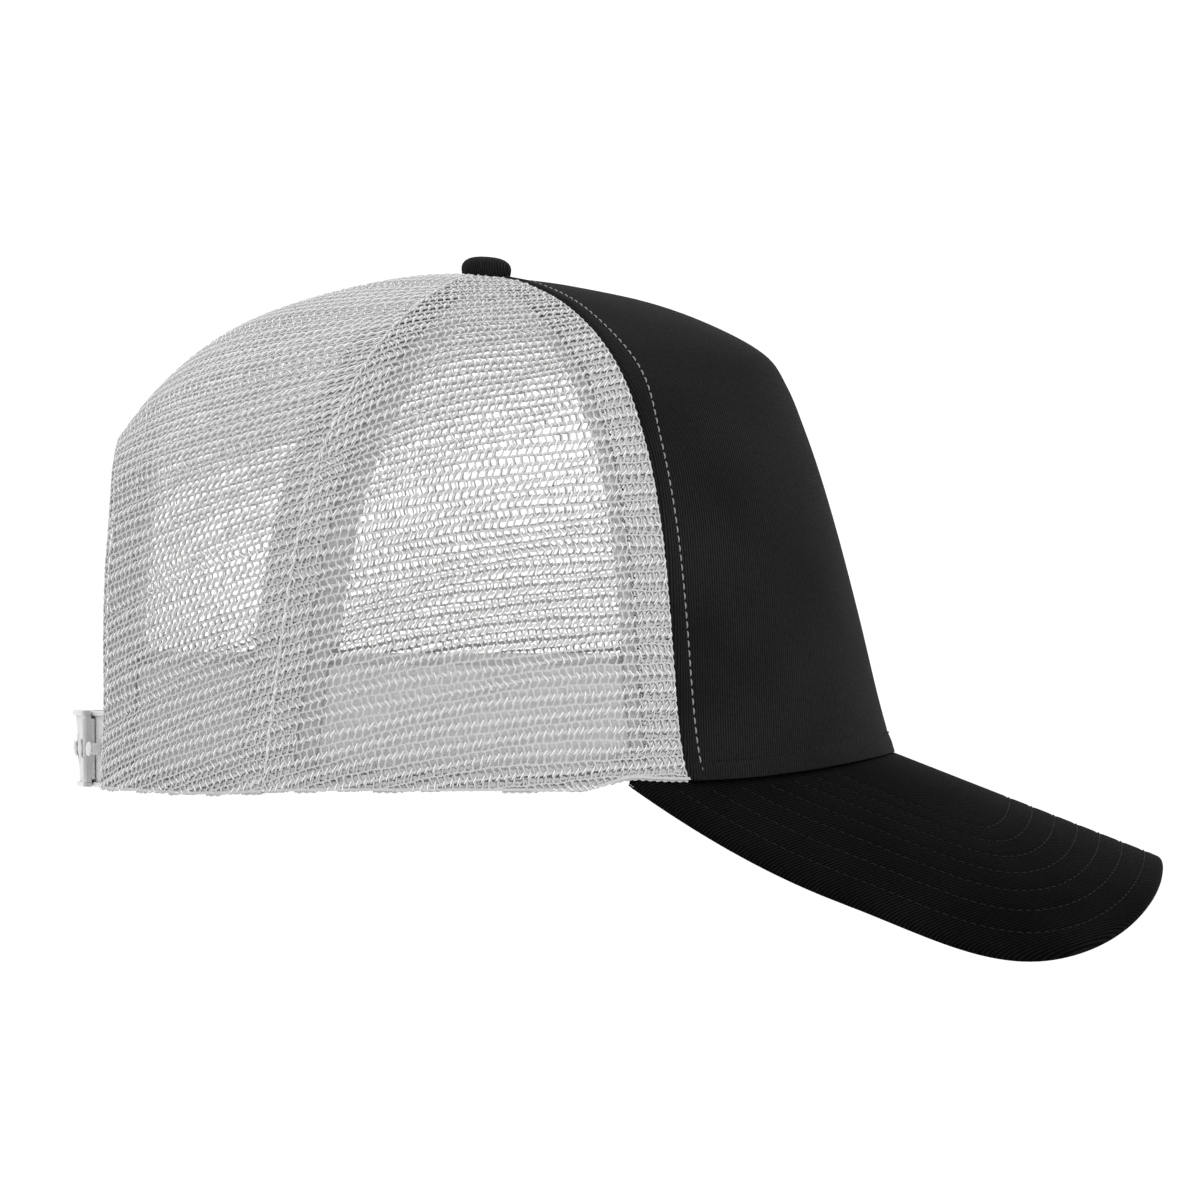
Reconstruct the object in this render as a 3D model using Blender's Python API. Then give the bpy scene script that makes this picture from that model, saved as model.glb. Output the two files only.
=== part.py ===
"""Five-panel trucker cap: twill front, four knit mesh panels, arched visor and a plastic snap strap.

+X points to the front, +Y to the wearer's left and +Z up. The origin is the middle of the head
opening, in the plane of the crown's lower edge. Each cloth piece is a thin closed shell that lies
at its own depth under the crown's outer surface, so that neighbouring layers stay clear.
"""

import math

import bmesh
import bpy
from mathutils import Vector

MM = 0.001

# Crown: each level is an oval ring. (height, half-length to the front, half-width, half-length
# to the back, forward fall of the ring per millimetre), all in millimetres.
LEVELS = (
    (0.0, 104.6, 86.0, 102.2, 0.0),
    (20.0, 98.7, 84.2, 101.6, 0.0),
    (42.0, 93.4, 81.2, 102.2, 0.0),
    (62.0, 88.3, 77.6, 101.7, 0.0),
    (78.0, 83.7, 73.0, 97.4, 0.0),
    (90.0, 79.6, 67.4, 89.8, 0.0),
    (100.0, 75.5, 60.8, 81.6, 0.0),
    (108.9, 70.0, 52.2, 70.4, 0.013),
    (116.1, 57.0, 42.2, 58.0, 0.0157),
    (121.9, 40.0, 30.5, 42.0, 0.0183),
    (126.0, 21.0, 17.5, 23.0, 0.04),
    (127.5, 9.0, 8.6, 10.0, 0.065),
    (128.0, 0.0, 0.0, 0.0, 0.07),
)
# Stations: places counted along LEVELS, from 0 at the hem.
TOP_STATION = 11.72
TAPE_TOP_STATION = 10.2
BACK_TAPE_FOOT_STATION = 6.15
HIGHEST_LEVEL_STATION = 6.0
NORMAL_STEP = 0.02
BISECTIONS = 40

# Seams, as angles from the front round to the back.
FRONT_SEAM_ANGLE = math.radians(55.2)
FRONT_SEAM_BULGE = math.radians(1.6)
FRONT_SEAM_SWEEP = math.radians(1.6)
FRONT_SEAM_SWEEP_STATION = 0.85
SIDE_SEAM_ANGLE = math.radians(127.0)
SIDE_SEAM_LEAN = math.radians(1.1)
SEAM_GAP = 0.35 * MM

# Rows and columns of each shell's grid.
PANEL_ROWS = 19
FRONT_COLUMNS = 17
SIDE_COLUMNS = 10
BACK_COLUMNS = 8
TAPE_ROWS = 17
TAPE_COLUMNS = 4
BAND_COLUMNS = 45
VISOR_ROWS = 6
VISOR_COLUMNS = 41

# Depth of each layer under the crown's outer surface: (outer face, inner face).
TWILL_DEPTH = (0.0, 0.9 * MM)
MESH_DEPTH = (0.0, 0.8 * MM)
BACKING_DEPTH = (1.2 * MM, 2.1 * MM)
MESH_TAPE_DEPTH = (1.3 * MM, 1.9 * MM)
FRONT_TAPE_DEPTH = (2.5 * MM, 3.1 * MM)
PADDING_DEPTH = (3.8 * MM, 4.6 * MM)
BAND_DEPTH = (4.95 * MM, 5.6 * MM)
ANCHOR_DEPTH = (2.3 * MM, 3.4 * MM)

# Tapes behind the seams: how far each reaches in front of its seam and behind it.
FRONT_TAPE_SPAN = (-6.0 * MM, 13.0 * MM)
SIDE_TAPE_SPAN = (-13.0 * MM, 7.0 * MM)
BACK_TAPE_HALF_WIDTH = 6.0 * MM
TAPE_LIFT = 1.5 * MM
BACKING_LIFT = 1.2 * MM
SWEATBAND_TOP = 34.0 * MM
SWEATBAND_LIFT = 1.0 * MM
PADDING_TOP = 31.0 * MM
BAND_END_GAP = 1.5 * MM

# Half-moon opening at the back.
ARCH_HALF_WIDTH = 30.0 * MM
ARCH_TOP = 87.0 * MM
BINDING_WIDTH = 12.0 * MM
BINDING_LIFT = 1.2 * MM
BACK_HEM_DIP = 1.0 * MM
HEM_DIP_SPAN = (1.9, 2.95)
HEM_REAR_ANGLE = 0.9 * math.pi

# Visor: an arc across, carried forward and down along a straight crest.
VISOR_CREST_X = 102.7 * MM
VISOR_CREST_Z = 8.3 * MM
VISOR_SLOPE = 0.392
VISOR_ARC_RADIUS = 115.0 * MM
VISOR_MIDDLE_X = 86.0 * MM
VISOR_FRONT_REACH = 83.5 * MM
VISOR_REAR_REACH = 118.0 * MM
VISOR_HALF_WIDTH = 90.0 * MM
VISOR_NARROWING = 2.6 * MM  # at its rear half, which is narrower than its front
VISOR_NARROWING_SPAN = (92.0 * MM, 142.0 * MM)
VISOR_ROUNDNESS = 3.1
VISOR_FAN_X = 40.0 * MM
VISOR_FAN_ANGLE = math.radians(88.0)
VISOR_FAN_LIMIT = 200.0 * MM
VISOR_SEAM = (102.7 * MM, 85.6 * MM)
VISOR_TUCK = 1.0 * MM
HEM_GAP = 0.4 * MM
VISOR_END_ANGLES = (math.radians(64.0), math.radians(74.0))
TOP_COVER_DEPTH = (0.0, 0.7 * MM)
BOARD_DEPTH = (1.05 * MM, 2.55 * MM)
BOTTOM_COVER_DEPTH = (2.9 * MM, 3.6 * MM)
BOARD_INSET = 2.0 * MM

# Snap strap. Places along it are measured from the centre back, + towards the wearer's left.
STRAP_HALF_HEIGHT = 9.5 * MM
STRAP_MIDDLE_Z = 9.5 * MM
STRAP_LIFT = 0.2 * MM
STRAP_ROOT = 28.1 * MM
STRAP_HINGE = 28.6 * MM
STRAP_ARC_RADIUS = 72.5 * MM
STRAP_LEAN = 0.096
STRAP_LEAN_FULL = 12.0 * MM
STRAP_LEAN_END = 26.0 * MM
SNAP_PITCH = 8.6 * MM
FIRST_SNAP = -23.8 * MM
SNAP_COUNT = 5
FIRST_HOLE = -15.2 * MM
RIM_WIDTH = 1.2 * MM
RIM_SLOPE = 0.4 * MM
RIM_HEIGHT = 0.8 * MM
CELL_HALF_HEIGHT = 4.0 * MM
SNAP_SIDES = 12
HOLE_RADIUS = 2.8 * MM
PEG_RADIUS = 1.5 * MM
PEG_HEAD_RADIUS = 1.8 * MM
PEG_TIP_RADIUS = 1.35 * MM
PEG_STRAP_WEB = (2.3 * MM, 3.4 * MM)
HOLE_STRAP_WEB = (-0.1 * MM, 1.1 * MM)
HOLE_STRAP_RAMP = (19.5 * MM, 28.1 * MM)
PEG_NECK_DEPTH = -0.35 * MM
PEG_HEAD_DEPTH = -1.25 * MM
ANCHOR_SPAN = (29.1 * MM, 39.5 * MM)

# Button, about its own axis through the top of the crown.
BUTTON_LEAN = math.radians(4.0)
BUTTON_SEAT = 128.2 * MM
BUTTON_SIDES = 28
COVER_PROFILE = (
    (0.0, 4.4), (3.0, 4.15), (5.0, 3.4), (6.0, 2.2), (6.25, 1.1), (6.0, 0.25),
    (5.5, 0.25), (5.6, 1.1), (5.4, 1.95), (4.6, 2.9), (2.8, 3.55), (0.0, 3.8),
)
SHELL_PROFILE = (
    (0.0, 3.5), (2.6, 3.25), (4.3, 2.6), (5.05, 1.8), (5.2, 0.4),
    (4.7, 0.4), (4.6, 1.6), (3.9, 2.2), (2.4, 2.75), (0.0, 2.95),
)
RIVET_PROFILE = ((0.0, 2.6), (2.0, 2.6), (2.0, 2.0), (1.1, 1.6), (1.1, -6.2), (0.0, -6.2))
BASE_PROFILE = ((1.5, -4.2), (7.0, -4.2), (7.0, -4.9), (3.0, -5.1), (3.0, -6.6), (1.5, -6.6))

FINISHES = {
    "black_twill": ((0.012, 0.012, 0.013), 0.9, 0.0),
    "grey_mesh": ((0.55, 0.55, 0.55), 0.7, 0.0),
    "grey_tape": ((0.42, 0.42, 0.42), 0.85, 0.0),
    "grey_band": ((0.46, 0.46, 0.46), 0.9, 0.0),
    "white_buckram": ((0.7, 0.7, 0.68), 0.9, 0.0),
    "foam_padding": ((0.6, 0.6, 0.58), 0.95, 0.0),
    "visor_plastic": ((0.6, 0.6, 0.6), 0.5, 0.0),
    "strap_plastic": ((0.5, 0.5, 0.5), 0.4, 0.0),
    "steel": ((0.6, 0.6, 0.6), 0.35, 1.0),
}
SMOOTH_ANGLE = math.radians(40.0)


def finish(name):
    """The Principled material of this name."""
    if name in bpy.data.materials:
        return bpy.data.materials[name]
    colour, roughness, metallic = FINISHES[name]
    material = bpy.data.materials.new(name)
    material.use_nodes = True
    shader = material.node_tree.nodes["Principled BSDF"]
    shader.inputs["Base Color"].default_value = (*colour, 1.0)
    shader.inputs["Roughness"].default_value = roughness
    shader.inputs["Metallic"].default_value = metallic
    return material


def make_object(name, finish_name, points, faces, origin=Vector((0, 0, 0))):
    """A closed solid from points and faces, with its origin where given."""
    mesh = bpy.data.meshes.new(name)
    mesh.from_pydata([point - origin for point in points], [], faces)
    shape = bmesh.new()
    shape.from_mesh(mesh)
    bmesh.ops.recalc_face_normals(shape, faces=shape.faces)
    shape.to_mesh(mesh)
    shape.free()
    mesh.shade_smooth()
    mesh.set_sharp_from_angle(angle=SMOOTH_ANGLE)
    mesh.materials.append(finish(finish_name))
    piece = bpy.data.objects.new(name, mesh)
    piece.location = origin
    bpy.context.scene.collection.objects.link(piece)
    return piece


def spread(low, high, count):
    """count evenly spaced numbers from low to high."""
    return [low + (high - low) * index / (count - 1) for index in range(count)]


def smooth_step(low, high, value):
    """0 before low, 1 after high, and a smooth change between."""
    share = min(max((value - low) / (high - low), 0.0), 1.0)
    return share * share * (3 - 2 * share)


# Crown surface


def level_at(station):
    """(height, front, side, back, fall) at a station, on a smooth curve through LEVELS."""
    last = len(LEVELS) - 1
    index = min(int(station), last - 1)
    share = station - index
    before, start, end, after = (
        LEVELS[min(max(index + shift, 0), last)] for shift in (-1, 0, 1, 2)
    )
    weights = (
        -0.5 * share + share**2 - 0.5 * share**3,
        1 - 2.5 * share**2 + 1.5 * share**3,
        0.5 * share + 2 * share**2 - 1.5 * share**3,
        -0.5 * share**2 + 0.5 * share**3,
    )
    columns = zip(before, start, end, after, strict=True)
    height, front, side, back, fall = (
        sum(weight * value for weight, value in zip(weights, column, strict=True))
        for column in columns
    )
    return height * MM, front * MM, side * MM, back * MM, fall


def crown_point(station, angle):
    """The point of the crown's outer surface at a station and at an angle from the front."""
    height, front, side, back, fall = level_at(station)
    length = front if math.cos(angle) > 0 else back
    reach = 1 / math.hypot(math.cos(angle) / length, math.sin(angle) / side)
    x = reach * math.cos(angle)
    return Vector((x, reach * math.sin(angle), height - fall * x))


def crown_layer(station, angle, depth):
    """The point at a depth under the crown's outer surface."""
    step = NORMAL_STEP
    up = crown_point(station + step, angle) - crown_point(station - step, angle)
    around = crown_point(station, angle + step) - crown_point(station, angle - step)
    return crown_point(station, angle) - around.cross(up).normalized() * depth


def station_of_height(height):
    """The station whose ring lies at a height below the crown's round top."""
    low, high = -0.5, HIGHEST_LEVEL_STATION
    for _ in range(BISECTIONS):
        middle = (low + high) / 2
        if level_at(middle)[0] < height:
            low = middle
        else:
            high = middle
    return low


def back_angle(station, across):
    """The angle of the point on the back of the crown at a distance across from its middle."""
    _, _, side, back, _ = level_at(station)
    return math.atan2(across, -back * math.sqrt(1 - (across / side) ** 2))


def front_seam(station):
    """The front seam's angle at a station; it sweeps back a little above the hem."""
    share = max(station, 0.0) / FRONT_SEAM_SWEEP_STATION
    sweep = FRONT_SEAM_SWEEP * share * math.exp(1 - share)
    return FRONT_SEAM_ANGLE + FRONT_SEAM_BULGE * math.sin(math.pi * station / 12) + sweep


def side_seam(station):
    """The side seam's angle at a station."""
    return SIDE_SEAM_ANGLE - SIDE_SEAM_LEAN * max(station, 0.0)


def visor_height(x, y):
    """The height of the visor's top surface."""
    sag = VISOR_ARC_RADIUS - math.sqrt(VISOR_ARC_RADIUS**2 - y * y)
    return VISOR_CREST_Z - VISOR_SLOPE * (x - VISOR_CREST_X) - sag


def hem_height(angle):
    """The height of the crown's lower edge: on the visor in front, and free behind."""
    turn = abs(angle)
    length, width = (half - VISOR_TUCK for half in VISOR_SEAM)
    reach = 1 / math.hypot(math.cos(turn) / length, math.sin(turn) / width)
    x, y = reach * math.cos(turn), reach * math.sin(turn)
    on_visor = visor_height(x, min(y, width)) + HEM_GAP
    free = -BACK_HEM_DIP * math.sin(math.pi * smooth_step(*HEM_DIP_SPAN, turn)) ** 2
    share = smooth_step(*VISOR_END_ANGLES, turn)
    return on_visor * (1 - share) + free * share


def hem_station(angle, lift=0.0):
    """The station of the crown's lower edge, raised by lift."""
    return station_of_height(hem_height(angle) + lift)


# Shells


def grid_shell(name, finish_name, point, rows, columns, depths):
    """A closed shell between the grids point(row, column, depth) at its two depths."""
    points = [
        point(row, column, depth)
        for depth in depths
        for row in range(rows)
        for column in range(columns)
    ]
    layer = rows * columns

    def at(row, column, face):
        return face * layer + row * columns + column

    faces = []
    for face in (0, 1):
        for row in range(rows - 1):
            for column in range(columns - 1):
                corners = [
                    at(row, column, face),
                    at(row, column + 1, face),
                    at(row + 1, column + 1, face),
                    at(row + 1, column, face),
                ]
                faces.append(corners if face == 0 else corners[::-1])
    border = (
        [(0, column) for column in range(columns)]
        + [(row, columns - 1) for row in range(1, rows)]
        + [(rows - 1, column) for column in range(columns - 2, -1, -1)]
        + [(row, 0) for row in range(rows - 2, 0, -1)]
    )
    for here, ahead in zip(border, border[1:] + border[:1], strict=True):
        faces.append([at(*ahead, 0), at(*here, 0), at(*here, 1), at(*ahead, 1)])
    return make_object(name, finish_name, points, faces)


def crown_panel(name, finish_name, start, end, depths, rows, columns, top=TOP_STATION, lift=0.0):
    """A crown piece between the angles start(station) and end(station), from the hem up."""

    def point(row, column, depth):
        across = column / (columns - 1)
        low = hem_station(start(0) * (1 - across) + end(0) * across, lift)
        station = low + (top - low) * row / (rows - 1)
        angle = start(station) * (1 - across) + end(station) * across
        return crown_layer(station, angle, depth)

    return grid_shell(name, finish_name, point, rows, columns, depths)


def offset_seam(seam, side, distance):
    """The seam's angle moved along the crown by a distance, on one side of the cap."""

    def angle(station):
        turn = seam(station)
        flat = crown_point(station, turn)
        return side * (turn + distance / math.hypot(flat.x, flat.y))

    return angle


def build_front():
    """The twill front panel and its stiff backing."""
    right = offset_seam(front_seam, -1, -SEAM_GAP / 2)
    left = offset_seam(front_seam, 1, -SEAM_GAP / 2)
    crown_panel("front_panel", "black_twill", right, left, TWILL_DEPTH, PANEL_ROWS, FRONT_COLUMNS)
    crown_panel(
        "front_backing", "white_buckram", right, left, BACKING_DEPTH,
        PANEL_ROWS, FRONT_COLUMNS, lift=BACKING_LIFT,
    )


def build_side_panel(side, label):
    """One mesh side panel, between the front seam and the side seam."""
    front = offset_seam(front_seam, side, SEAM_GAP / 2)
    rear = offset_seam(side_seam, side, -SEAM_GAP / 2)
    crown_panel(f"side_mesh_{label}", "grey_mesh", front, rear, MESH_DEPTH, PANEL_ROWS, SIDE_COLUMNS)


def arch_half_width(height):
    """Half the width of the back opening at a height, or 0 above it."""
    spring_line = ARCH_TOP - ARCH_HALF_WIDTH
    if height <= spring_line:
        return ARCH_HALF_WIDTH
    rise = min((height - spring_line) / ARCH_HALF_WIDTH, 1.0)
    return ARCH_HALF_WIDTH * math.sqrt(1 - rise * rise)


def back_rows(low):
    """Stations of a back panel's rows, closer together where the opening's arch turns."""
    straight = spread(low, station_of_height(ARCH_TOP - ARCH_HALF_WIDTH), 5)
    turns = [math.radians(degrees) for degrees in (15, 30, 44, 57, 68, 78, 90)]
    arch = [
        station_of_height(ARCH_TOP - ARCH_HALF_WIDTH * (1 - math.sin(turn))) for turn in turns
    ]
    return straight + arch + spread(arch[-1], TOP_STATION, 11)[1:]


def build_back_panel(side, label):
    """One mesh back panel, from the side seam to the opening's edge and the centre back."""
    seam = offset_seam(side_seam, side, SEAM_GAP / 2)
    rows, columns = len(back_rows(0.0)), BACK_COLUMNS

    def point(row, column, depth):
        across = column / (columns - 1)
        low = hem_station(abs(seam(0)) * (1 - across) + HEM_REAR_ANGLE * across)
        station = back_rows(low)[row]
        edge = max(arch_half_width(level_at(station)[0]), SEAM_GAP / 2)
        rear = side * back_angle(station, edge)
        angle = seam(station) * (1 - across) + rear * across
        return crown_layer(station, angle, depth)

    grid_shell(f"back_mesh_{label}", "grey_mesh", point, rows, columns, MESH_DEPTH)


def build_seam_tapes(side, label):
    """The tapes behind the front seam and the side seam of one side of the cap."""
    for seam, name, depths, span in (
        (front_seam, "front_seam_tape", FRONT_TAPE_DEPTH, FRONT_TAPE_SPAN),
        (side_seam, "side_seam_tape", MESH_TAPE_DEPTH, SIDE_TAPE_SPAN),
    ):
        start = offset_seam(seam, side, span[0])
        end = offset_seam(seam, side, span[1])
        crown_panel(
            f"{name}_{label}", "grey_tape", start, end, depths,
            TAPE_ROWS, TAPE_COLUMNS, TAPE_TOP_STATION, TAPE_LIFT,
        )


def build_back_tape():
    """The tape behind the centre-back seam, above the opening's binding."""
    low = BACK_TAPE_FOOT_STATION
    rows, columns = 7, 3

    def point(row, column, depth):
        station = low + (TAPE_TOP_STATION - low) * row / (rows - 1)
        across = BACK_TAPE_HALF_WIDTH * (column - 1)
        return crown_layer(station, back_angle(station, across), depth)

    grid_shell("back_seam_tape", "grey_tape", point, rows, columns, MESH_TAPE_DEPTH)


def build_binding():
    """The tape behind the opening's edge, up one side, over the arch and down the other."""
    spring_line = ARCH_TOP - ARCH_HALF_WIDTH
    legs = spread(BINDING_LIFT, spring_line, 6)
    turns = spread(0.0, math.pi, 17)[1:-1]
    path = (
        [(-1.0, 0.0, height) for height in legs]
        + [(-math.cos(turn), math.sin(turn), spring_line) for turn in turns]
        + [(1.0, 0.0, height) for height in reversed(legs)]
    )

    def point(row, column, depth):
        out_y, out_z, height = path[row]
        reach = ARCH_HALF_WIDTH + BINDING_WIDTH * column / 2
        station = station_of_height(height + out_z * reach)
        return crown_layer(station, back_angle(station, out_y * reach), depth)

    grid_shell("opening_binding", "grey_tape", point, len(path), 3, MESH_TAPE_DEPTH)


def build_sweatband():
    """The sweatband and the padding between it and the crown."""
    end = back_angle(0.0, ARCH_HALF_WIDTH + BAND_END_GAP)
    for name, finish_name, depths, top in (
        ("sweatband_padding", "foam_padding", PADDING_DEPTH, PADDING_TOP),
        ("sweatband", "grey_band", BAND_DEPTH, SWEATBAND_TOP),
    ):

        def point(row, column, depth, top=top):
            angle = -end + 2 * end * column / (BAND_COLUMNS - 1)
            low = hem_height(angle) + SWEATBAND_LIFT
            station = station_of_height(low + (top - low) * row / 3)
            return crown_layer(station, angle, depth)

        grid_shell(name, finish_name, point, 4, BAND_COLUMNS, depths)


# Visor


def visor_outline(x, y):
    """Below 1 inside the visor's outer edge, and above 1 outside it."""
    width = VISOR_HALF_WIDTH - VISOR_NARROWING * (1 - smooth_step(*VISOR_NARROWING_SPAN, x))
    if x >= VISOR_MIDDLE_X:
        along = (x - VISOR_MIDDLE_X) / VISOR_FRONT_REACH
        return along**VISOR_ROUNDNESS + (abs(y) / width) ** VISOR_ROUNDNESS
    return ((VISOR_MIDDLE_X - x) / VISOR_REAR_REACH) ** 2 + (y / width) ** 2


def visor_seam_oval(x, y):
    """Below 1 inside the oval where the visor meets the crown, and above 1 outside it."""
    length, width = VISOR_SEAM
    return (x / (length - VISOR_TUCK)) ** 2 + (y / (width - VISOR_TUCK)) ** 2


def fan_reach(outline, turn):
    """How far from the fan's middle a line at this angle crosses an outline."""
    low, high = 0.0, VISOR_FAN_LIMIT
    for _ in range(BISECTIONS):
        middle = (low + high) / 2
        x = VISOR_FAN_X + middle * math.cos(turn)
        if outline(x, middle * math.sin(turn)) < 1:
            low = middle
        else:
            high = middle
    return low


def visor_layer(x, y, depth):
    """The point at a depth under the visor's top surface."""
    slope_y = -y / math.sqrt(VISOR_ARC_RADIUS**2 - y * y)
    normal = Vector((VISOR_SLOPE, -slope_y, 1.0)).normalized()
    return Vector((x, y, visor_height(x, y))) - normal * depth


def build_visor():
    """The stiff board and the cloth over and under it."""
    turns = spread(-VISOR_FAN_ANGLE, VISOR_FAN_ANGLE, VISOR_COLUMNS)
    for name, finish_name, depths, inset, skip in (
        ("visor_top_cover", "black_twill", TOP_COVER_DEPTH, 0.0, 0),
        ("visor_board", "visor_plastic", BOARD_DEPTH, BOARD_INSET, 1),
        ("visor_bottom_cover", "black_twill", BOTTOM_COVER_DEPTH, 0.0, 0),
    ):

        def point(row, column, depth, inset=inset, skip=skip):
            turn = turns[column + skip]
            inner = fan_reach(visor_seam_oval, turn) + inset / 2
            outer = fan_reach(visor_outline, turn) - inset
            reach = inner + (outer - inner) * row / (VISOR_ROWS - 1)
            return visor_layer(VISOR_FAN_X + reach * math.cos(turn), reach * math.sin(turn), depth)

        grid_shell(name, finish_name, point, VISOR_ROWS, len(turns) - 2 * skip, depths)


# Button


def turned(name, finish_name, profile):
    """A solid turned about the button's axis from a closed profile of (radius, height) in mm."""
    seat = Vector((0, 0, BUTTON_SEAT))
    axis = Vector((math.sin(BUTTON_LEAN), 0, math.cos(BUTTON_LEAN)))
    ahead = Vector((axis.z, 0, -axis.x))
    aside = Vector((0, 1, 0))
    points, rings = [], []
    for radius, height in profile:
        middle = seat + axis * height * MM
        rings.append(len(points))
        if radius == 0:
            points.append(middle)
            continue
        for index in range(BUTTON_SIDES):
            turn = 2 * math.pi * index / BUTTON_SIDES
            points.append(
                middle + (ahead * math.cos(turn) + aside * math.sin(turn)) * radius * MM
            )

    def corners(ring, index):
        if profile[ring][0] == 0:
            return [rings[ring]]
        return [rings[ring] + index, rings[ring] + (index + 1) % BUTTON_SIDES]

    faces = []
    closed = range(len(profile))
    for ring in closed:
        following = (ring + 1) % len(profile)
        if profile[ring][0] == 0 and profile[following][0] == 0:
            continue
        for index in range(BUTTON_SIDES):
            faces.append(corners(ring, index) + corners(following, index)[::-1])
    make_object(name, finish_name, points, faces, origin=seat)


def build_button():
    """The covered button, its post and the plate inside the crown."""
    turned("button_cover", "black_twill", COVER_PROFILE)
    turned("button_shell", "steel", SHELL_PROFILE)
    turned("button_rivet", "steel", RIVET_PROFILE)
    turned("button_base", "steel", BASE_PROFILE)


# Snap strap


def strap_layer(along, up, depth):
    """A point of the strap: along it from the centre back, up from its middle, at a depth."""
    across = STRAP_ARC_RADIUS * math.sin(along / STRAP_ARC_RADIUS)
    station = station_of_height(STRAP_MIDDLE_Z + STRAP_LIFT + up)
    point = crown_layer(station, back_angle(station, across), depth)
    share = 1 - smooth_step(STRAP_LEAN_FULL, STRAP_LEAN_END, abs(along))
    point.x -= STRAP_LEAN * up * share
    return point


def strap_rows():
    """Heights across the strap, each with how much of the rim stands there."""
    edge = STRAP_HALF_HEIGHT
    inner = edge - RIM_WIDTH
    upper = [(CELL_HALF_HEIGHT, 0.0), (inner - RIM_SLOPE, 0.0), (inner, 1.0), (edge, 1.0)]
    return [(-up, rim) for up, rim in reversed(upper)] + upper


def snap_strap(name, columns, snaps, depths_at, peg):
    """A strap half as one closed solid, with a peg or a hole in the cell of each snap.

    columns are places along the strap, and snaps maps a column to the place of the snap in
    the cell after it. depths_at(along) gives the web's outer and inner depth.
    """
    rows = strap_rows()
    points, faces = [], []

    def add(along, up, depth):
        points.append(strap_layer(along, up, depth))
        return len(points) - 1

    grid = {}
    for column, along in enumerate(columns):
        outer, inner = depths_at(along)
        rim_share = 0.0 if column == 0 else 1.0
        for row, (up, rim) in enumerate(rows):
            grid[column, row, 0] = add(along, up, outer - RIM_HEIGHT * rim * rim_share)
            grid[column, row, 1] = add(along, up, inner)

    def corners(column, row, face):
        return [
            grid[column, row, face],
            grid[column + 1, row, face],
            grid[column + 1, row + 1, face],
            grid[column, row + 1, face],
        ]

    def ring(middle, radius, depth_of):
        turns = [2 * math.pi * (index + 0.5) / SNAP_SIDES for index in range(SNAP_SIDES)]
        return [
            add(middle + radius * math.cos(turn), radius * math.sin(turn), depth_of(turn))
            for turn in turns
        ]

    def fan(square, circle, flip):
        """Triangles between a cell's square and the ring inside it.

        The ring starts opposite the square's upper corner on the + side, which is its third
        corner, or its fourth where the columns run the other way.
        """
        quarter = SNAP_SIDES // 4
        start = (3, 2, 1, 0) if flip else (2, 3, 0, 1)
        for index in range(4):
            corner = square[start[index]]
            arc = [circle[(index * quarter + step) % SNAP_SIDES] for step in range(quarter)]
            for first, second in zip(arc, arc[1:], strict=False):
                faces.append([corner, first, second])
            following = circle[(index + 1) * quarter % SNAP_SIDES]
            faces.append([corner, arc[-1], following])
            faces.append([corner, following, square[start[(index + 1) % 4]]])

    def tube(first, second):
        for index in range(SNAP_SIDES):
            after = (index + 1) % SNAP_SIDES
            faces.append([first[index], first[after], second[after], second[index]])

    def snap_cell(column, row, middle):
        flip = columns[column + 1] < columns[column]
        radius = PEG_RADIUS if peg else HOLE_RADIUS

        def web_ring(face):
            return ring(middle, radius, lambda turn: depths_at(middle + radius * math.cos(turn))[face])

        outer_ring = web_ring(0)
        fan(corners(column, row, 0), outer_ring, flip)
        if not peg:
            inner_ring = web_ring(1)
            fan(corners(column, row, 1), inner_ring, flip)
            tube(outer_ring, inner_ring)
            return
        faces.append(corners(column, row, 1))
        neck = ring(middle, PEG_RADIUS, lambda turn: PEG_NECK_DEPTH)
        shoulder = ring(middle, PEG_HEAD_RADIUS, lambda turn: PEG_NECK_DEPTH)
        tip = ring(middle, PEG_TIP_RADIUS, lambda turn: PEG_HEAD_DEPTH)
        tube(outer_ring, neck)
        tube(neck, shoulder)
        tube(shoulder, tip)
        faces.append(tip)

    middle_row = len(rows) // 2 - 1
    for column in range(len(columns) - 1):
        for row in range(len(rows) - 1):
            if column in snaps and row == middle_row:
                snap_cell(column, row, snaps[column])
                continue
            faces.append(corners(column, row, 0))
            faces.append(corners(column, row, 1))
        for row in (0, len(rows) - 1):
            faces.append(
                [grid[column + step, row, face] for step, face in ((0, 0), (1, 0), (1, 1), (0, 1))]
            )
    for column in (0, len(columns) - 1):
        for row in range(len(rows) - 1):
            faces.append(
                [grid[column, row + step, face] for step, face in ((0, 0), (1, 0), (1, 1), (0, 1))]
            )
    hinge = strap_layer(math.copysign(STRAP_HINGE, columns[0]), 0.0, sum(ANCHOR_DEPTH) / 2)
    return make_object(name, "strap_plastic", points, faces, origin=hinge)


def hole_strap_depths(along):
    """Depths of the outer strap: over the pegs, then in under the mesh at its root."""
    share = smooth_step(*HOLE_STRAP_RAMP, along)
    over, under = HOLE_STRAP_WEB, ANCHOR_DEPTH
    return tuple(a * (1 - share) + b * share for a, b in zip(over, under, strict=True))


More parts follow.
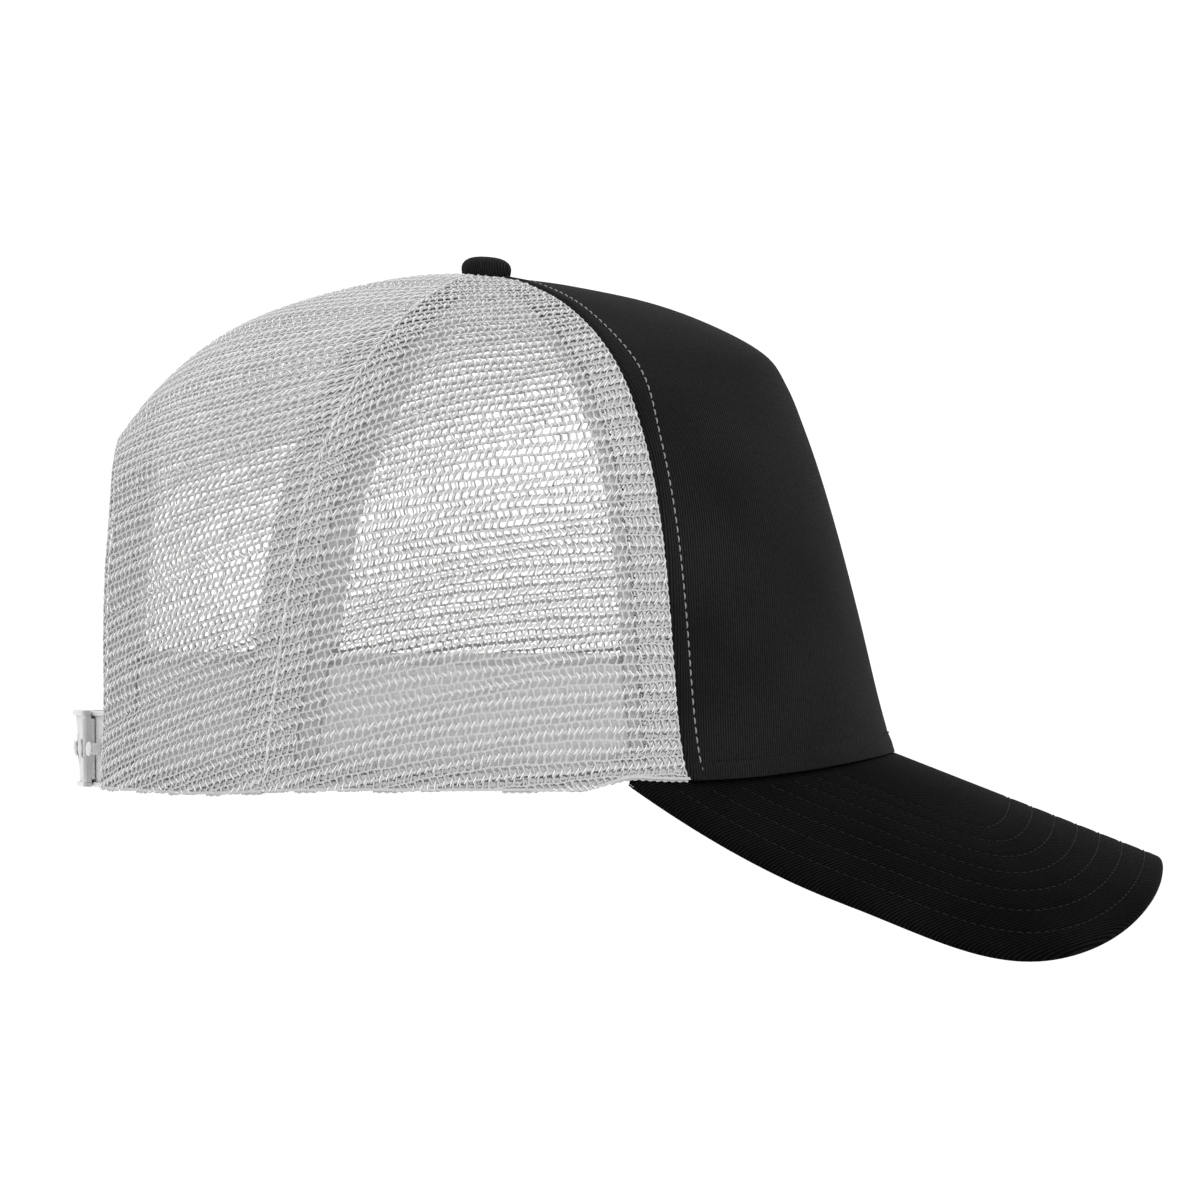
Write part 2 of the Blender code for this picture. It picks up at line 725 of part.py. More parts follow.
def build_straps():
    """The two strap halves and the tabs that hold them inside the crown."""
    half = SNAP_PITCH / 2
    peg_places = [FIRST_SNAP + SNAP_PITCH * index for index in range(SNAP_COUNT)]
    columns = [-STRAP_ROOT] + [place + half for place in peg_places]
    snaps = dict(enumerate(peg_places))
    snap_strap("snap_strap_pegs", columns, snaps, lambda along: PEG_STRAP_WEB, True)

    hole_places = [FIRST_HOLE + SNAP_PITCH * index for index in range(SNAP_COUNT)][::-1]
    columns = [STRAP_ROOT] + [hole_places[0] + half] + [place - half for place in hole_places]
    snaps = {index + 1: place for index, place in enumerate(hole_places)}
    snap_strap("snap_strap_holes", columns, snaps, hole_strap_depths, False)

    for side, label in ((-1, "right"), (1, "left")):

        def point(row, column, depth, side=side):
            along = ANCHOR_SPAN[0] + (ANCHOR_SPAN[1] - ANCHOR_SPAN[0]) * column / 2
            up = -STRAP_HALF_HEIGHT + 2 * STRAP_HALF_HEIGHT * row / 2
            return strap_layer(side * along, up, depth)

        grid_shell(f"strap_anchor_{label}", "strap_plastic", point, 3, 3, ANCHOR_DEPTH)


def main():
    """Clears the scene and builds the cap."""
    for old in list(bpy.data.objects):
        bpy.data.objects.remove(old, do_unlink=True)
    build_front()
    for side, label in ((-1, "right"), (1, "left")):
        build_side_panel(side, label)
        build_back_panel(side, label)
        build_seam_tapes(side, label)
    build_back_tape()
    build_binding()
    build_sweatband()
    build_visor()
    build_button()
    build_straps()


main()
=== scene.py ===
"""Looks of a trucker cap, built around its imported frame.

+X points to the front, +Y to the wearer's left and +Z up, in metres. The crown's surface is the
frame's own formula, so every cloth piece lies at the depth that its solid has in the frame.
"""

import logging
import math
from collections.abc import Callable
from dataclasses import dataclass, field
from enum import Enum

import bmesh
import bpy
import numpy as np
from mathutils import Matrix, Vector


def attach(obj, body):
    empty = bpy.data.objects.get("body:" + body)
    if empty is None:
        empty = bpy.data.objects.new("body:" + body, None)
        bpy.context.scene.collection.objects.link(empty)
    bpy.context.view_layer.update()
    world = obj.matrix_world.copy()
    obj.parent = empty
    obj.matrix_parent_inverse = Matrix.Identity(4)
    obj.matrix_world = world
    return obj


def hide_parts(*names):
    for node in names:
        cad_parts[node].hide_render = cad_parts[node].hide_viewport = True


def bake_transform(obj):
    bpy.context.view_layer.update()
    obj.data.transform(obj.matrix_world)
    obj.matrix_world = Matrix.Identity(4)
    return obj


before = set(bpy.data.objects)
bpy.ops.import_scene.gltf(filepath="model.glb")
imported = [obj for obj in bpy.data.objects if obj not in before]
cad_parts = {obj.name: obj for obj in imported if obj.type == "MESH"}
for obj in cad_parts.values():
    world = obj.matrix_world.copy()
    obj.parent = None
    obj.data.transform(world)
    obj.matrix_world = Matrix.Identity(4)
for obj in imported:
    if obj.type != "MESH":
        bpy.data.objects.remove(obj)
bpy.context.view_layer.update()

MM = 0.001
CROWN = "crown"
# A wave texture of scale 1 repeats after this length.
WAVE_PERIOD = math.pi / 10
Array = np.ndarray
AngleLine = Callable[[Array], Array]
log = logging.getLogger("cap")


class Side(Enum):
    """The two sides of the cap, as the sign of Y."""

    RIGHT = -1
    LEFT = 1

    @property
    def label(self) -> str:
        """The side's name as the frame's nodes have it."""
        return self.name.lower()


# Small helpers


def linear(code: str) -> tuple[float, float, float, float]:
    """Turns an sRGB hex value to a linear colour with full alpha."""
    parts = [int(code[place : place + 2], 16) / 255 for place in (1, 3, 5)]
    return (*(p / 12.92 if p <= 0.04045 else ((p + 0.055) / 1.055) ** 2.4 for p in parts), 1.0)


def smooth_step(low: float, high: float, value: Array) -> Array:
    """Gives 0 before low, 1 after high and a smooth change between."""
    share = np.clip((value - low) / (high - low), 0.0, 1.0)
    return share * share * (3 - 2 * share)


def bump_at(distance: Array, width: float) -> Array:
    """Gives a smooth hump that is 1 at distance 0."""
    return np.exp(-((distance / width) ** 2))


def unit(vectors: Array) -> Array:
    """Scales vectors to length 1."""
    return vectors / np.maximum(np.linalg.norm(vectors, axis=-1, keepdims=True), 1e-12)


def lengths_along(line: Array) -> Array:
    """Gives the distance along a line of points, starting from 0."""
    steps = np.linalg.norm(np.diff(line, axis=0), axis=1)
    return np.concatenate([[0.0], np.cumsum(steps)])


def read_at(line: Array, along: Array, places: Array) -> Array:
    """Reads points or vectors given along a line at other places.

    Args:
        line: one row of numbers per known place.
        along: the known places, rising.
        places: where to read, an array of any shape.

    Returns:
        The read rows, in the shape of places with the row's length added.
    """
    return np.stack([np.interp(places, along, line[:, axis]) for axis in range(line.shape[1])], axis=-1)


def make_mesh(name: str, points: Array, faces: list, uv: Array | None = None) -> bpy.types.Object:
    """Makes a smooth-shaded object from points and faces.

    Args:
        name: the piece's name.
        points: the vertices, in metres.
        faces: lists of vertex numbers.
        uv: cloth coordinates in millimetres, one pair for each vertex.

    Returns:
        The object, linked to the scene.
    """
    mesh = bpy.data.meshes.new(name)
    mesh.from_pydata(points.reshape(-1, 3).tolist(), [], faces)
    mesh.shade_smooth()
    mesh.set_sharp_from_angle(angle=math.radians(50))
    if uv is not None:
        layer = mesh.uv_layers.new(name="cloth")
        corners = np.empty(len(mesh.loops), np.int32)
        mesh.loops.foreach_get("vertex_index", corners)
        layer.data.foreach_set("uv", uv.reshape(-1, 2)[corners].astype(np.float32).ravel())
    piece = bpy.data.objects.new(name, mesh)
    bpy.context.scene.collection.objects.link(piece)
    return piece


def face_outwards(piece: bpy.types.Object) -> bpy.types.Object:
    """Turns every face of a closed piece to face out.

    Args:
        piece: a closed piece.

    Returns:
        The same piece.
    """
    shape = bmesh.new()
    shape.from_mesh(piece.data)
    bmesh.ops.recalc_face_normals(shape, faces=shape.faces)
    shape.to_mesh(piece.data)
    shape.free()
    return piece


def shell(name: str, outer: Array, inner: Array, uv: Array) -> bpy.types.Object:
    """Makes a closed shell between two grids of points.

    Args:
        name: the piece's name.
        outer: the outer face's points, rows by columns by 3.
        inner: the inner face's points, in the same shape.
        uv: cloth coordinates, rows by columns by 2.

    Returns:
        The shell, facing out.
    """
    rows, columns = outer.shape[:2]
    index = np.arange(rows * columns).reshape(rows, columns)
    quads = np.stack([index[:-1, :-1], index[:-1, 1:], index[1:, 1:], index[1:, :-1]], axis=-1).reshape(-1, 4)
    border = np.concatenate([index[0, :-1], index[:-1, -1], index[-1, :0:-1], index[:0:-1, 0]])
    ahead, shift = np.roll(border, -1), rows * columns
    walls = np.stack([ahead, border, border + shift, ahead + shift], axis=-1)
    faces = np.concatenate([quads, quads[:, ::-1] + shift, walls]).tolist()
    points = np.concatenate([outer.reshape(-1, 3), inner.reshape(-1, 3)])
    pairs = np.concatenate([uv.reshape(-1, 2)] * 2)
    return face_outwards(make_mesh(name, points, faces, pairs))


def swept(name: str, rings: Array, uv: Array | None = None, closed: bool = False) -> bpy.types.Object:
    """Makes a solid from rings of points in a row, capped at its two ends unless it is closed."""
    points, faces = ring_solid(rings, closed)
    return face_outwards(make_mesh(name, points, faces, uv))


def ring_solid(rings: Array, closed: bool = False) -> tuple[Array, list]:
    """Gives the points and faces of a solid made of rings in a row.

    Args:
        rings: rings by points by 3.
        closed: whether the last ring joins the first.

    Returns:
        The points, and the faces as lists of vertex numbers.
    """
    count, sides = rings.shape[:2]
    index = np.arange(count * sides).reshape(count, sides)
    if closed:
        index = np.concatenate([index, index[:1]])
    turned = np.roll(index, -1, axis=1)
    faces = np.stack([index[:-1], turned[:-1], turned[1:], index[1:]], axis=-1).reshape(-1, 4).tolist()
    if not closed:
        faces += [index[0].tolist(), index[-1][::-1].tolist()]
    return rings.reshape(-1, 3), faces


class Strands:
    """Collects thin closed tubes of yarn or thread into one mesh."""

    def __init__(self) -> None:
        """Starts with no tubes."""
        self.points: list[Array] = []
        self.faces: list[Array] = []
        self.count = 0

    def add(self, lines: Array, normals: Array, width: Array, depth: Array, sides: int = 4) -> None:
        """Adds one tube along each line.

        Args:
            lines: tubes by points by 3.
            normals: the cloth's normal at each of those points.
            width: the tube's width across the cloth, one number, one for each point, or tubes by points.
            depth: its thickness through the cloth, in the same way.
            sides: how many sides the tube has, an even number.
        """
        tubes, count = lines.shape[:2]
        if not tubes or count < 2:
            return
        along = unit(np.gradient(lines, axis=1))
        across = unit(np.cross(normals, along))
        turns = 2 * np.pi * (np.arange(sides) + 0.5) / sides
        wide = np.broadcast_to(width, (tubes, count))[..., None, None] / 2
        deep = np.broadcast_to(depth, (tubes, count))[..., None, None] / 2
        ring = (
            lines[:, :, None, :]
            + across[:, :, None, :] * np.cos(turns)[None, None, :, None] * wide
            + normals[:, :, None, :] * np.sin(turns)[None, None, :, None] * deep
        )
        index = np.arange(tubes * count * sides).reshape(tubes, count, sides) + self.count
        turned = np.roll(index, -1, axis=2)
        quads = np.stack([index[:, :-1], turned[:, :-1], turned[:, 1:], index[:, 1:]], axis=-1)
        self.faces.append(quads.reshape(-1, 4))
        for start in range(0, sides // 2 - 1):
            cap = [start, start + 1, sides - start - 2, sides - start - 1]
            self.faces.append(index[:, 0][:, cap[::-1]])
            self.faces.append(index[:, -1][:, cap])
        self.points.append(ring.reshape(-1, 3))
        self.count += ring.size // 3

    def build(self, name: str) -> bpy.types.Object:
        """Makes the mesh of all the tubes."""
        return make_mesh(name, np.concatenate(self.points), np.concatenate(self.faces).tolist())


def dress(
    piece: bpy.types.Object, material: bpy.types.Material, slot: str, *nodes: str, body: str | None = CROWN
) -> bpy.types.Object:
    """Gives a piece its material and ties it to the frame.

    Args:
        piece: the finished piece.
        material: its material.
        slot: not used.
        nodes: the frame's nodes that the piece stands for.
        body: the body it rides on, or None to leave it unattached.

    Returns:
        The piece.
    """
    piece.data.materials.clear()
    piece.data.materials.append(material)
    if nodes:
        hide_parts(*nodes)
    if body:
        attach(piece, body)
    log.info("%s: %d faces", piece.name, len(piece.data.polygons))
    return piece


# Finishes


def add_node(tree: bpy.types.NodeTree, kind: str, sockets: dict | None = None, **settings) -> bpy.types.Node:
    """Adds a node to a material.

    Args:
        tree: the material's nodes.
        kind: the node's type name, without the ShaderNode that it starts with.
        sockets: for an input's name or number, a value or the output socket that feeds it.
        settings: the node's own properties.

    Returns:
        The new node.
    """
    made = tree.nodes.new(f"ShaderNode{kind}")
    for name, value in settings.items():
        setattr(made, name, value)
    for name, value in (sockets or {}).items():
        if isinstance(value, bpy.types.NodeSocket):
            tree.links.new(value, made.inputs[name])
        else:
            made.inputs[name].default_value = value
    return made


def start_material(name: str, **values) -> tuple[bpy.types.Material, bpy.types.NodeTree, bpy.types.Node]:
    """Makes a material with one Principled shader.

    Args:
        name: what the material is.
        values: the shader's own values; an underscore stands for a space in a socket's name.

    Returns:
        The material, its nodes and the shader.
    """
    material = bpy.data.materials.new(name)
    material.use_nodes = True
    shader = material.node_tree.nodes["Principled BSDF"]
    for socket, value in values.items():
        shader.inputs[socket.replace("_", " ")].default_value = value
    return material, material.node_tree, shader


def between(
    tree: bpy.types.NodeTree, share: bpy.types.NodeSocket, low: str, high: str
) -> bpy.types.NodeSocket:
    """Mixes two colours.

    Args:
        tree: the material's nodes.
        share: 0 where the colour is low, 1 where it is high.
        low: an sRGB hex value.
        high: another sRGB hex value.

    Returns:
        The colour's socket.
    """
    ramp = add_node(tree, "ValToRGB", {"Fac": share})
    ramp.color_ramp.elements[0].color = linear(low)
    ramp.color_ramp.elements[1].color = linear(high)
    return ramp.outputs["Color"]


@dataclass(frozen=True)
class CottonTwill:
    """Cotton drill in a 3/1 twill, piece-dyed black: fine diagonal ribs, a dull face and a little fuzz."""

    name: str = "cotton twill"
    dark: str = "#060607"
    light: str = "#222223"
    rib_mm: float = 0.72
    rib_height: float = 0.16 * MM
    turn: float = math.radians(17)
    roughness: float = 0.85
    sheen: float = 0.01
    gloss: float = 0.07
    contrast: float = 3.0
    base: float = 0.06

    def build(self) -> bpy.types.Material:
        """Makes the material. Real ribs are 0.5 mm apart; they are drawn at rib_mm so that they show.

        Returns:
            The material.
        """
        material, tree, shader = start_material(
            self.name, Roughness=self.roughness, Sheen_Weight=self.sheen, Sheen_Roughness=0.5, IOR=1.42,
            Specular_IOR_Level=self.gloss,
        )
        cloth = add_node(tree, "UVMap", uv_map="cloth")
        # Ribs: raised bands that climb across the cloth at the twill's angle.
        turned = add_node(
            tree, "Mapping", {"Vector": cloth.outputs["UV"], "Rotation": (0, 0, self.turn)}
        )
        ribs = add_node(
            tree, "TexWave",
            {
                "Vector": turned.outputs["Vector"], "Scale": WAVE_PERIOD / self.rib_mm,
                "Distortion": 0.9, "Detail": 1.0, "Detail Scale": 1.5,
            },
            wave_type="BANDS", bands_direction="X",
        )
        # Yarn: slubs a few millimetres long, darker where the dye took more.
        slubs = add_node(
            tree, "TexNoise",
            {"Vector": turned.outputs["Vector"], "Scale": 0.8, "Detail": 4.0, "Roughness": 0.65},
        )
        fade = add_node(tree, "TexNoise", {"Vector": cloth.outputs["UV"], "Scale": 0.03, "Detail": 2.0})
        mixed = add_node(
            tree, "Math", {0: ribs.outputs["Fac"], 1: slubs.outputs["Fac"]}, operation="MULTIPLY"
        )
        depth = add_node(tree, "Math", {0: fade.outputs["Fac"], 1: self.contrast}, operation="MULTIPLY")
        share = add_node(
            tree, "Math", {0: mixed.outputs[0], 1: depth.outputs[0], 2: self.base}, operation="MULTIPLY_ADD"
        )
        tree.links.new(between(tree, share.outputs[0], self.dark, self.light), shader.inputs["Base Color"])
        bump = add_node(
            tree, "Bump", {"Height": mixed.outputs[0], "Strength": 0.55, "Distance": self.rib_height}
        )
        tree.links.new(bump.outputs["Normal"], shader.inputs["Normal"])
        return material


@dataclass(frozen=True)
class WovenCloth:
    """A plain weave of two sets of yarns, for tape, lining or banding: crossing threads with tiny gaps."""

    name: str
    dark: str
    light: str
    yarn_mm: float = 0.8
    yarn_height: float = 0.12 * MM
    roughness: float = 0.8
    sheen: float = 0.1

    def build(self) -> bpy.types.Material:
        """Makes the material from two crossed waves; their sum is a plain weave's surface.

        Returns:
            The material.
        """
        material, tree, shader = start_material(
            self.name, Roughness=self.roughness, Sheen_Weight=self.sheen, Sheen_Roughness=0.4, IOR=1.45
        )
        cloth = add_node(tree, "UVMap", uv_map="cloth")
        waves = [
            add_node(
                tree, "TexWave",
                {
                    "Vector": cloth.outputs["UV"], "Scale": WAVE_PERIOD / self.yarn_mm,
                    "Distortion": 0.5, "Detail": 1.0,
                },
                wave_type="BANDS", bands_direction=direction,
            )
            for direction in ("X", "Y")
        ]
        weave = add_node(
            tree, "Math", {0: waves[0].outputs["Fac"], 1: waves[1].outputs["Fac"]}, operation="MULTIPLY"
        )
        patchy = add_node(tree, "TexNoise", {"Vector": cloth.outputs["UV"], "Scale": 0.15, "Detail": 3.0})
        share = add_node(
            tree, "Math", {0: weave.outputs[0], 1: 0.7, 2: patchy.outputs["Fac"]}, operation="MULTIPLY_ADD"
        )
        tree.links.new(between(tree, share.outputs[0], self.dark, self.light), shader.inputs["Base Color"])
        bump = add_node(
            tree, "Bump", {"Height": weave.outputs[0], "Strength": 0.5, "Distance": self.yarn_height}
        )
        tree.links.new(bump.outputs["Normal"], shader.inputs["Normal"])
        return material


@dataclass(frozen=True)
class FilamentYarn:
    """Continuous polyester filament, knitted or twisted: bright, with a silky gloss along each strand."""

    name: str
    dark: str
    light: str
    roughness: float = 0.38
    sheen: float = 0.15
    twist_mm: float = 0.6
    gloss: float = 0.5

    def build(self) -> bpy.types.Material:
        """Makes the material; a fine noise in the colour is painted glints, standing for the strands that
        catch the light one by one.

        Returns:
            The material.
        """
        material, tree, shader = start_material(
            self.name, Roughness=self.roughness, Sheen_Weight=self.sheen, IOR=1.5,
            Specular_IOR_Level=self.gloss,
        )
        place = add_node(tree, "TexCoord")
        painted_glints = add_node(
            tree, "TexNoise",
            {"Vector": place.outputs["Object"], "Scale": 1 / (self.twist_mm * MM), "Detail": 2.0},
        )
        # Painted glints: the noise moves the colour between dark and light.
        colour = between(tree, painted_glints.outputs["Fac"], self.dark, self.light)
        tree.links.new(colour, shader.inputs["Base Color"])
        return material


@dataclass(frozen=True)
class MouldedPlastic:
    """Injection-moulded polyethylene or extruded sheet: waxy, slightly translucent, with soft highlights."""

    name: str
    dark: str
    light: str
    roughness: float = 0.34
    subsurface: float = 0.3

    def build(self) -> bpy.types.Material:
        """Makes the material; slow variation is the flow of the melt, fine bump the mould's texture.

        Returns:
            The material.
        """
        material, tree, shader = start_material(
            self.name, Roughness=self.roughness, IOR=1.51, Subsurface_Weight=self.subsurface,
            Subsurface_Scale=3.0 * MM, Subsurface_Radius=(1.0, 1.0, 1.0),
        )
        place = add_node(tree, "TexCoord")
        flow = add_node(tree, "TexNoise", {"Vector": place.outputs["Object"], "Scale": 90.0, "Detail": 2.0})
        tree.links.new(between(tree, flow.outputs["Fac"], self.dark, self.light), shader.inputs["Base Color"])
        skin = add_node(tree, "TexNoise", {"Vector": place.outputs["Object"], "Scale": 1800.0, "Detail": 1.0})
        bump = add_node(
            tree, "Bump", {"Height": skin.outputs["Fac"], "Strength": 0.15, "Distance": 0.05 * MM}
        )
        tree.links.new(bump.outputs["Normal"], shader.inputs["Normal"])
        return material


@dataclass(frozen=True)
class StampedSteel:
    """Tinned steel sheet, stamped: bright grey metal with faint drawing marks."""

    name: str = "tinned steel"
    dark: str = "#8E8E8C"
    light: str = "#B9B9B6"

    def build(self) -> bpy.types.Material:
        """Makes the material; the marks change its roughness as well as its colour.

        Returns:
            The material.
        """
        material, tree, shader = start_material(self.name, Metallic=1.0)
        place = add_node(tree, "TexCoord")
        marks = add_node(tree, "TexNoise", {"Vector": place.outputs["Object"], "Scale": 700.0, "Detail": 3.0})
        colour = between(tree, marks.outputs["Fac"], self.dark, self.light)
        tree.links.new(colour, shader.inputs["Base Color"])
        rough = add_node(
            tree, "MapRange", {"Value": marks.outputs["Fac"], "To Min": 0.25, "To Max": 0.45}
        )
        tree.links.new(rough.outputs[0], shader.inputs["Roughness"])
        return material


class Finishes:
    """All the cap's materials, made once."""

    def __init__(self) -> None:
        """Makes each material from its finish."""
        self.twill = CottonTwill().build()
        # The visor's twill is darker than the front panel's: painted shade, so that the up-facing visor top
        # does not render lighter than the panel.
        self.shaded_visor_twill = CottonTwill(
            name="cotton twill, visor, painted shade", dark="#000000", light="#121213", turn=math.radians(45),
            sheen=0.0, gloss=0.04, contrast=3.2, base=0.0,
        ).build()
        self.knit = FilamentYarn("polyester knit, ground yarn", "#A2A2A2", "#BEBEBE", 0.42).build()
        # The floats are the same polyester yarn in a brighter colour: painted highlights, the glints of the
        # glossy knit.
        self.floats = FilamentYarn("polyester knit, bright yarn", "#D2D2D2", "#F0F0F0", 0.3).build()
        self.black_thread = FilamentYarn(
            "spun polyester thread, black", "#060607", "#101011", 0.7, 0.0, gloss=0.15
        ).build()
        self.grey_thread = FilamentYarn("spun polyester thread, grey", "#686868", "#868686", 0.5, 0.1).build()
        self.pale_thread = FilamentYarn(
            "spun polyester thread, light", "#B4B4B4", "#D6D6D6", 0.4, 0.1
        ).build()
        self.tape = WovenCloth("woven polyester tape", "#B0B0B0", "#C2C2C2", 0.9).build()
        self.band = WovenCloth("brushed cotton band", "#C0C0C0", "#CECECE", 0.7, 0.1 * MM, 0.9, 0.1).build()
        self.buckram = WovenCloth("buckram", "#B4B4AE", "#E2E2DC", 1.2, 0.25 * MM, 0.75, 0.0).build()
        self.foam = WovenCloth("non-woven padding", "#C8C8C8", "#D6D6D6", 2.2, 0.2 * MM, 0.95, 0.0).build()
        self.strap = MouldedPlastic("polyethylene", "#BEBEBF", "#CACACB").build()
        self.board = MouldedPlastic("polyethylene sheet", "#C8C8C4", "#D8D8D4", 0.5).build()
        self.steel = StampedSteel().build()


# Crown


@dataclass(frozen=True)
class CrownForm:
    """The crown's outer surface, from rings that get smaller towards the top."""

    # (height, half-length to the front, half-width, half-length to the back, forward fall), mm
    levels: tuple[tuple[float, ...], ...] = (
        (0.0, 104.6, 86.0, 102.2, 0.0),
        (20.0, 98.7, 84.2, 101.6, 0.0),
        (42.0, 93.4, 81.2, 102.2, 0.0),
        (62.0, 88.3, 77.6, 101.7, 0.0),
        (78.0, 83.7, 73.0, 97.4, 0.0),
        (90.0, 79.6, 67.4, 89.8, 0.0),
        (100.0, 75.5, 60.8, 81.6, 0.0),
        (108.9, 70.0, 52.2, 70.4, 0.013),
        (116.1, 57.0, 42.2, 58.0, 0.0157),
        (121.9, 40.0, 30.5, 42.0, 0.0183),
        (126.0, 21.0, 17.5, 23.0, 0.04),
        (127.5, 9.0, 8.6, 10.0, 0.065),
        (128.0, 0.0, 0.0, 0.0, 0.07),
    )
    lowest_station: float = -0.2
    top_station: float = 11.72
    front_seam_angle: float = math.radians(55.2)
    front_seam_bulge: float = math.radians(1.6)
    front_seam_sweep: float = math.radians(1.6)
    front_seam_sweep_station: float = 0.85
    side_seam_angle: float = math.radians(127.0)
    side_seam_lean: float = math.radians(1.1)
    seam_gap: float = 0.35 * MM
    visor_crest: tuple[float, float] = (102.7 * MM, 8.3 * MM)
    visor_slope: float = 0.392
    visor_arc_radius: float = 115.0 * MM
    visor_seam: tuple[float, float] = (101.7 * MM, 84.6 * MM)
    hem_gap: float = 0.4 * MM
    hem_dip: float = 1.0 * MM
    hem_dip_span: tuple[float, float] = (1.9, 2.95)
    visor_end_angles: tuple[float, float] = (math.radians(64.0), math.radians(74.0))
    arch_half_width: float = 30.0 * MM
    arch_top: float = 87.0 * MM

    def level(self, station: Array) -> list[Array]:
        """Reads (height, front, side, back, fall) at stations, on a smooth curve through the levels.

        Args:
            station: rings from the hem, numbered upwards.

        Returns:
            One array for each measure.
        """
        table = np.array(self.levels) * (MM, MM, MM, MM, 1.0)
        last = len(table) - 1
        station = np.asarray(station, float)
        index = np.clip(np.trunc(station).astype(int), 0, last - 1)
        share = (station - index)[..., None]
        before, start, end, after = (table[np.clip(index + shift, 0, last)] for shift in (-1, 0, 1, 2))
        row = (
            before * (-0.5 * share + share**2 - 0.5 * share**3)
            + start * (1 - 2.5 * share**2 + 1.5 * share**3)
            + end * (0.5 * share + 2 * share**2 - 1.5 * share**3)
            + after * (-0.5 * share**2 + 0.5 * share**3)
        )
        return [row[..., column] for column in range(5)]

    def point(self, station: Array, angle: Array) -> Array:
        """Gives the surface's points at stations and at angles from the front.

        Args:
            station: rings from the hem, numbered upwards.
            angle: angles from the front, in radians.

        Returns:
            The points, in metres.
        """
        height, front, side, back, fall = self.level(station)
        length = np.where(np.cos(angle) > 0, front, back)
        reach = 1 / np.hypot(np.cos(angle) / length, np.sin(angle) / side)
        x = reach * np.cos(angle)
        return np.stack(np.broadcast_arrays(x, reach * np.sin(angle), height - fall * x), axis=-1)

    def normal(self, station: Array, angle: Array) -> Array:
        """Gives the surface's outward normals.

        Args:
            station: rings from the hem, numbered upwards.
            angle: angles from the front, in radians.

        Returns:
            The normals, each of length 1.
        """
        step = 0.02
        up = self.point(station + step, angle) - self.point(station - step, angle)
        around = self.point(station, angle + step) - self.point(station, angle - step)
        return unit(np.cross(around, up))

    def layer(self, station: Array, angle: Array, depth: Array) -> Array:
        """Gives points at a depth under the surface."""
        return self.point(station, angle) - self.normal(station, angle) * np.asarray(depth)[..., None]

    def reach(self, station: Array, angle: Array) -> Array:
        """Gives how far a point moves along the surface for each radian round the crown.

        Args:
            station: rings from the hem, numbered upwards.
            angle: angles from the front, in radians.

        Returns:
            Metres for each radian.
        """
        step = 0.01
        ahead, behind = self.point(station, angle + step), self.point(station, angle - step)
        return np.linalg.norm(ahead - behind, axis=-1) / (2 * step)

    def station_of_height(self, height: Array) -> Array:
        """Gives the station whose ring lies at a height, below the crown's round top."""
        stations = np.linspace(self.lowest_station, 6.5, 1200)
        return np.interp(height, self.level(stations)[0], stations)

    def back_angle(self, station: Array, across: Array) -> Array:
        """Gives the angle of the point on the back at a distance across from its middle."""
        _, _, side, back, _ = self.level(station)
        return np.arctan2(across, -back * np.sqrt(1 - (across / side) ** 2))

    def front_seam(self, station: Array) -> Array:
        """Gives the front seam's angle; the seam sweeps back a little above the hem.

        Args:
            station: rings from the hem, numbered upwards.

        Returns:
            Angles from the front.
        """
        share = np.maximum(station, 0.0) / self.front_seam_sweep_station
        sweep = self.front_seam_sweep * share * np.exp(1 - share)
        bulge = self.front_seam_bulge * np.sin(np.pi * np.asarray(station) / 12)
        return self.front_seam_angle + bulge + sweep

    def side_seam(self, station: Array) -> Array:
        """Gives the side seam's angle."""
        return self.side_seam_angle - self.side_seam_lean * np.maximum(station, 0.0)

    def beside(self, seam: AngleLine, distance: float) -> AngleLine:
        """Gives a line that runs a distance behind a seam, or in front of it where negative."""
        return lambda station: seam(station) + distance / self.reach(station, seam(station))

    def arch_edge(self, station: Array) -> Array:
        """Gives the angle of the back opening's edge, and of the centre back above it.

        Args:
            station: rings from the hem, numbered upwards.

        Returns:
            Angles from the front.
        """
        spring = self.arch_top - self.arch_half_width
        rise = np.clip((self.level(station)[0] - spring) / self.arch_half_width, 0.0, 1.0)
        half = self.arch_half_width * np.sqrt(1 - rise * rise)
        return self.back_angle(station, np.maximum(half, self.seam_gap / 2))

    def visor_height(self, x: Array, y: Array) -> Array:
        """Gives the height of the visor's top surface."""
        sag = self.visor_arc_radius - np.sqrt(self.visor_arc_radius**2 - y * y)
        return self.visor_crest[1] - self.visor_slope * (x - self.visor_crest[0]) - sag

    def hem_height(self, angle: Array) -> Array:
        """Gives the height of the crown's lower edge: on the visor in front, and free behind.

        Args:
            angle: angles from the front, in radians.

        Returns:
            Heights above the hem plane.
        """
        turn = np.abs(angle)
        length, width = self.visor_seam
        reach = 1 / np.hypot(np.cos(turn) / length, np.sin(turn) / width)
        on_visor = self.visor_height(reach * np.cos(turn), np.minimum(reach * np.sin(turn), width))
        free = -self.hem_dip * np.sin(np.pi * smooth_step(*self.hem_dip_span, turn)) ** 2
        share = smooth_step(*self.visor_end_angles, turn)
        return (on_visor + self.hem_gap) * (1 - share) + free * share

    def hem_station(self, angle: Array, lift: float = 0.0) -> Array:
        """Gives the station of the crown's lower edge, raised by lift."""
        return self.station_of_height(self.hem_height(angle) + lift)


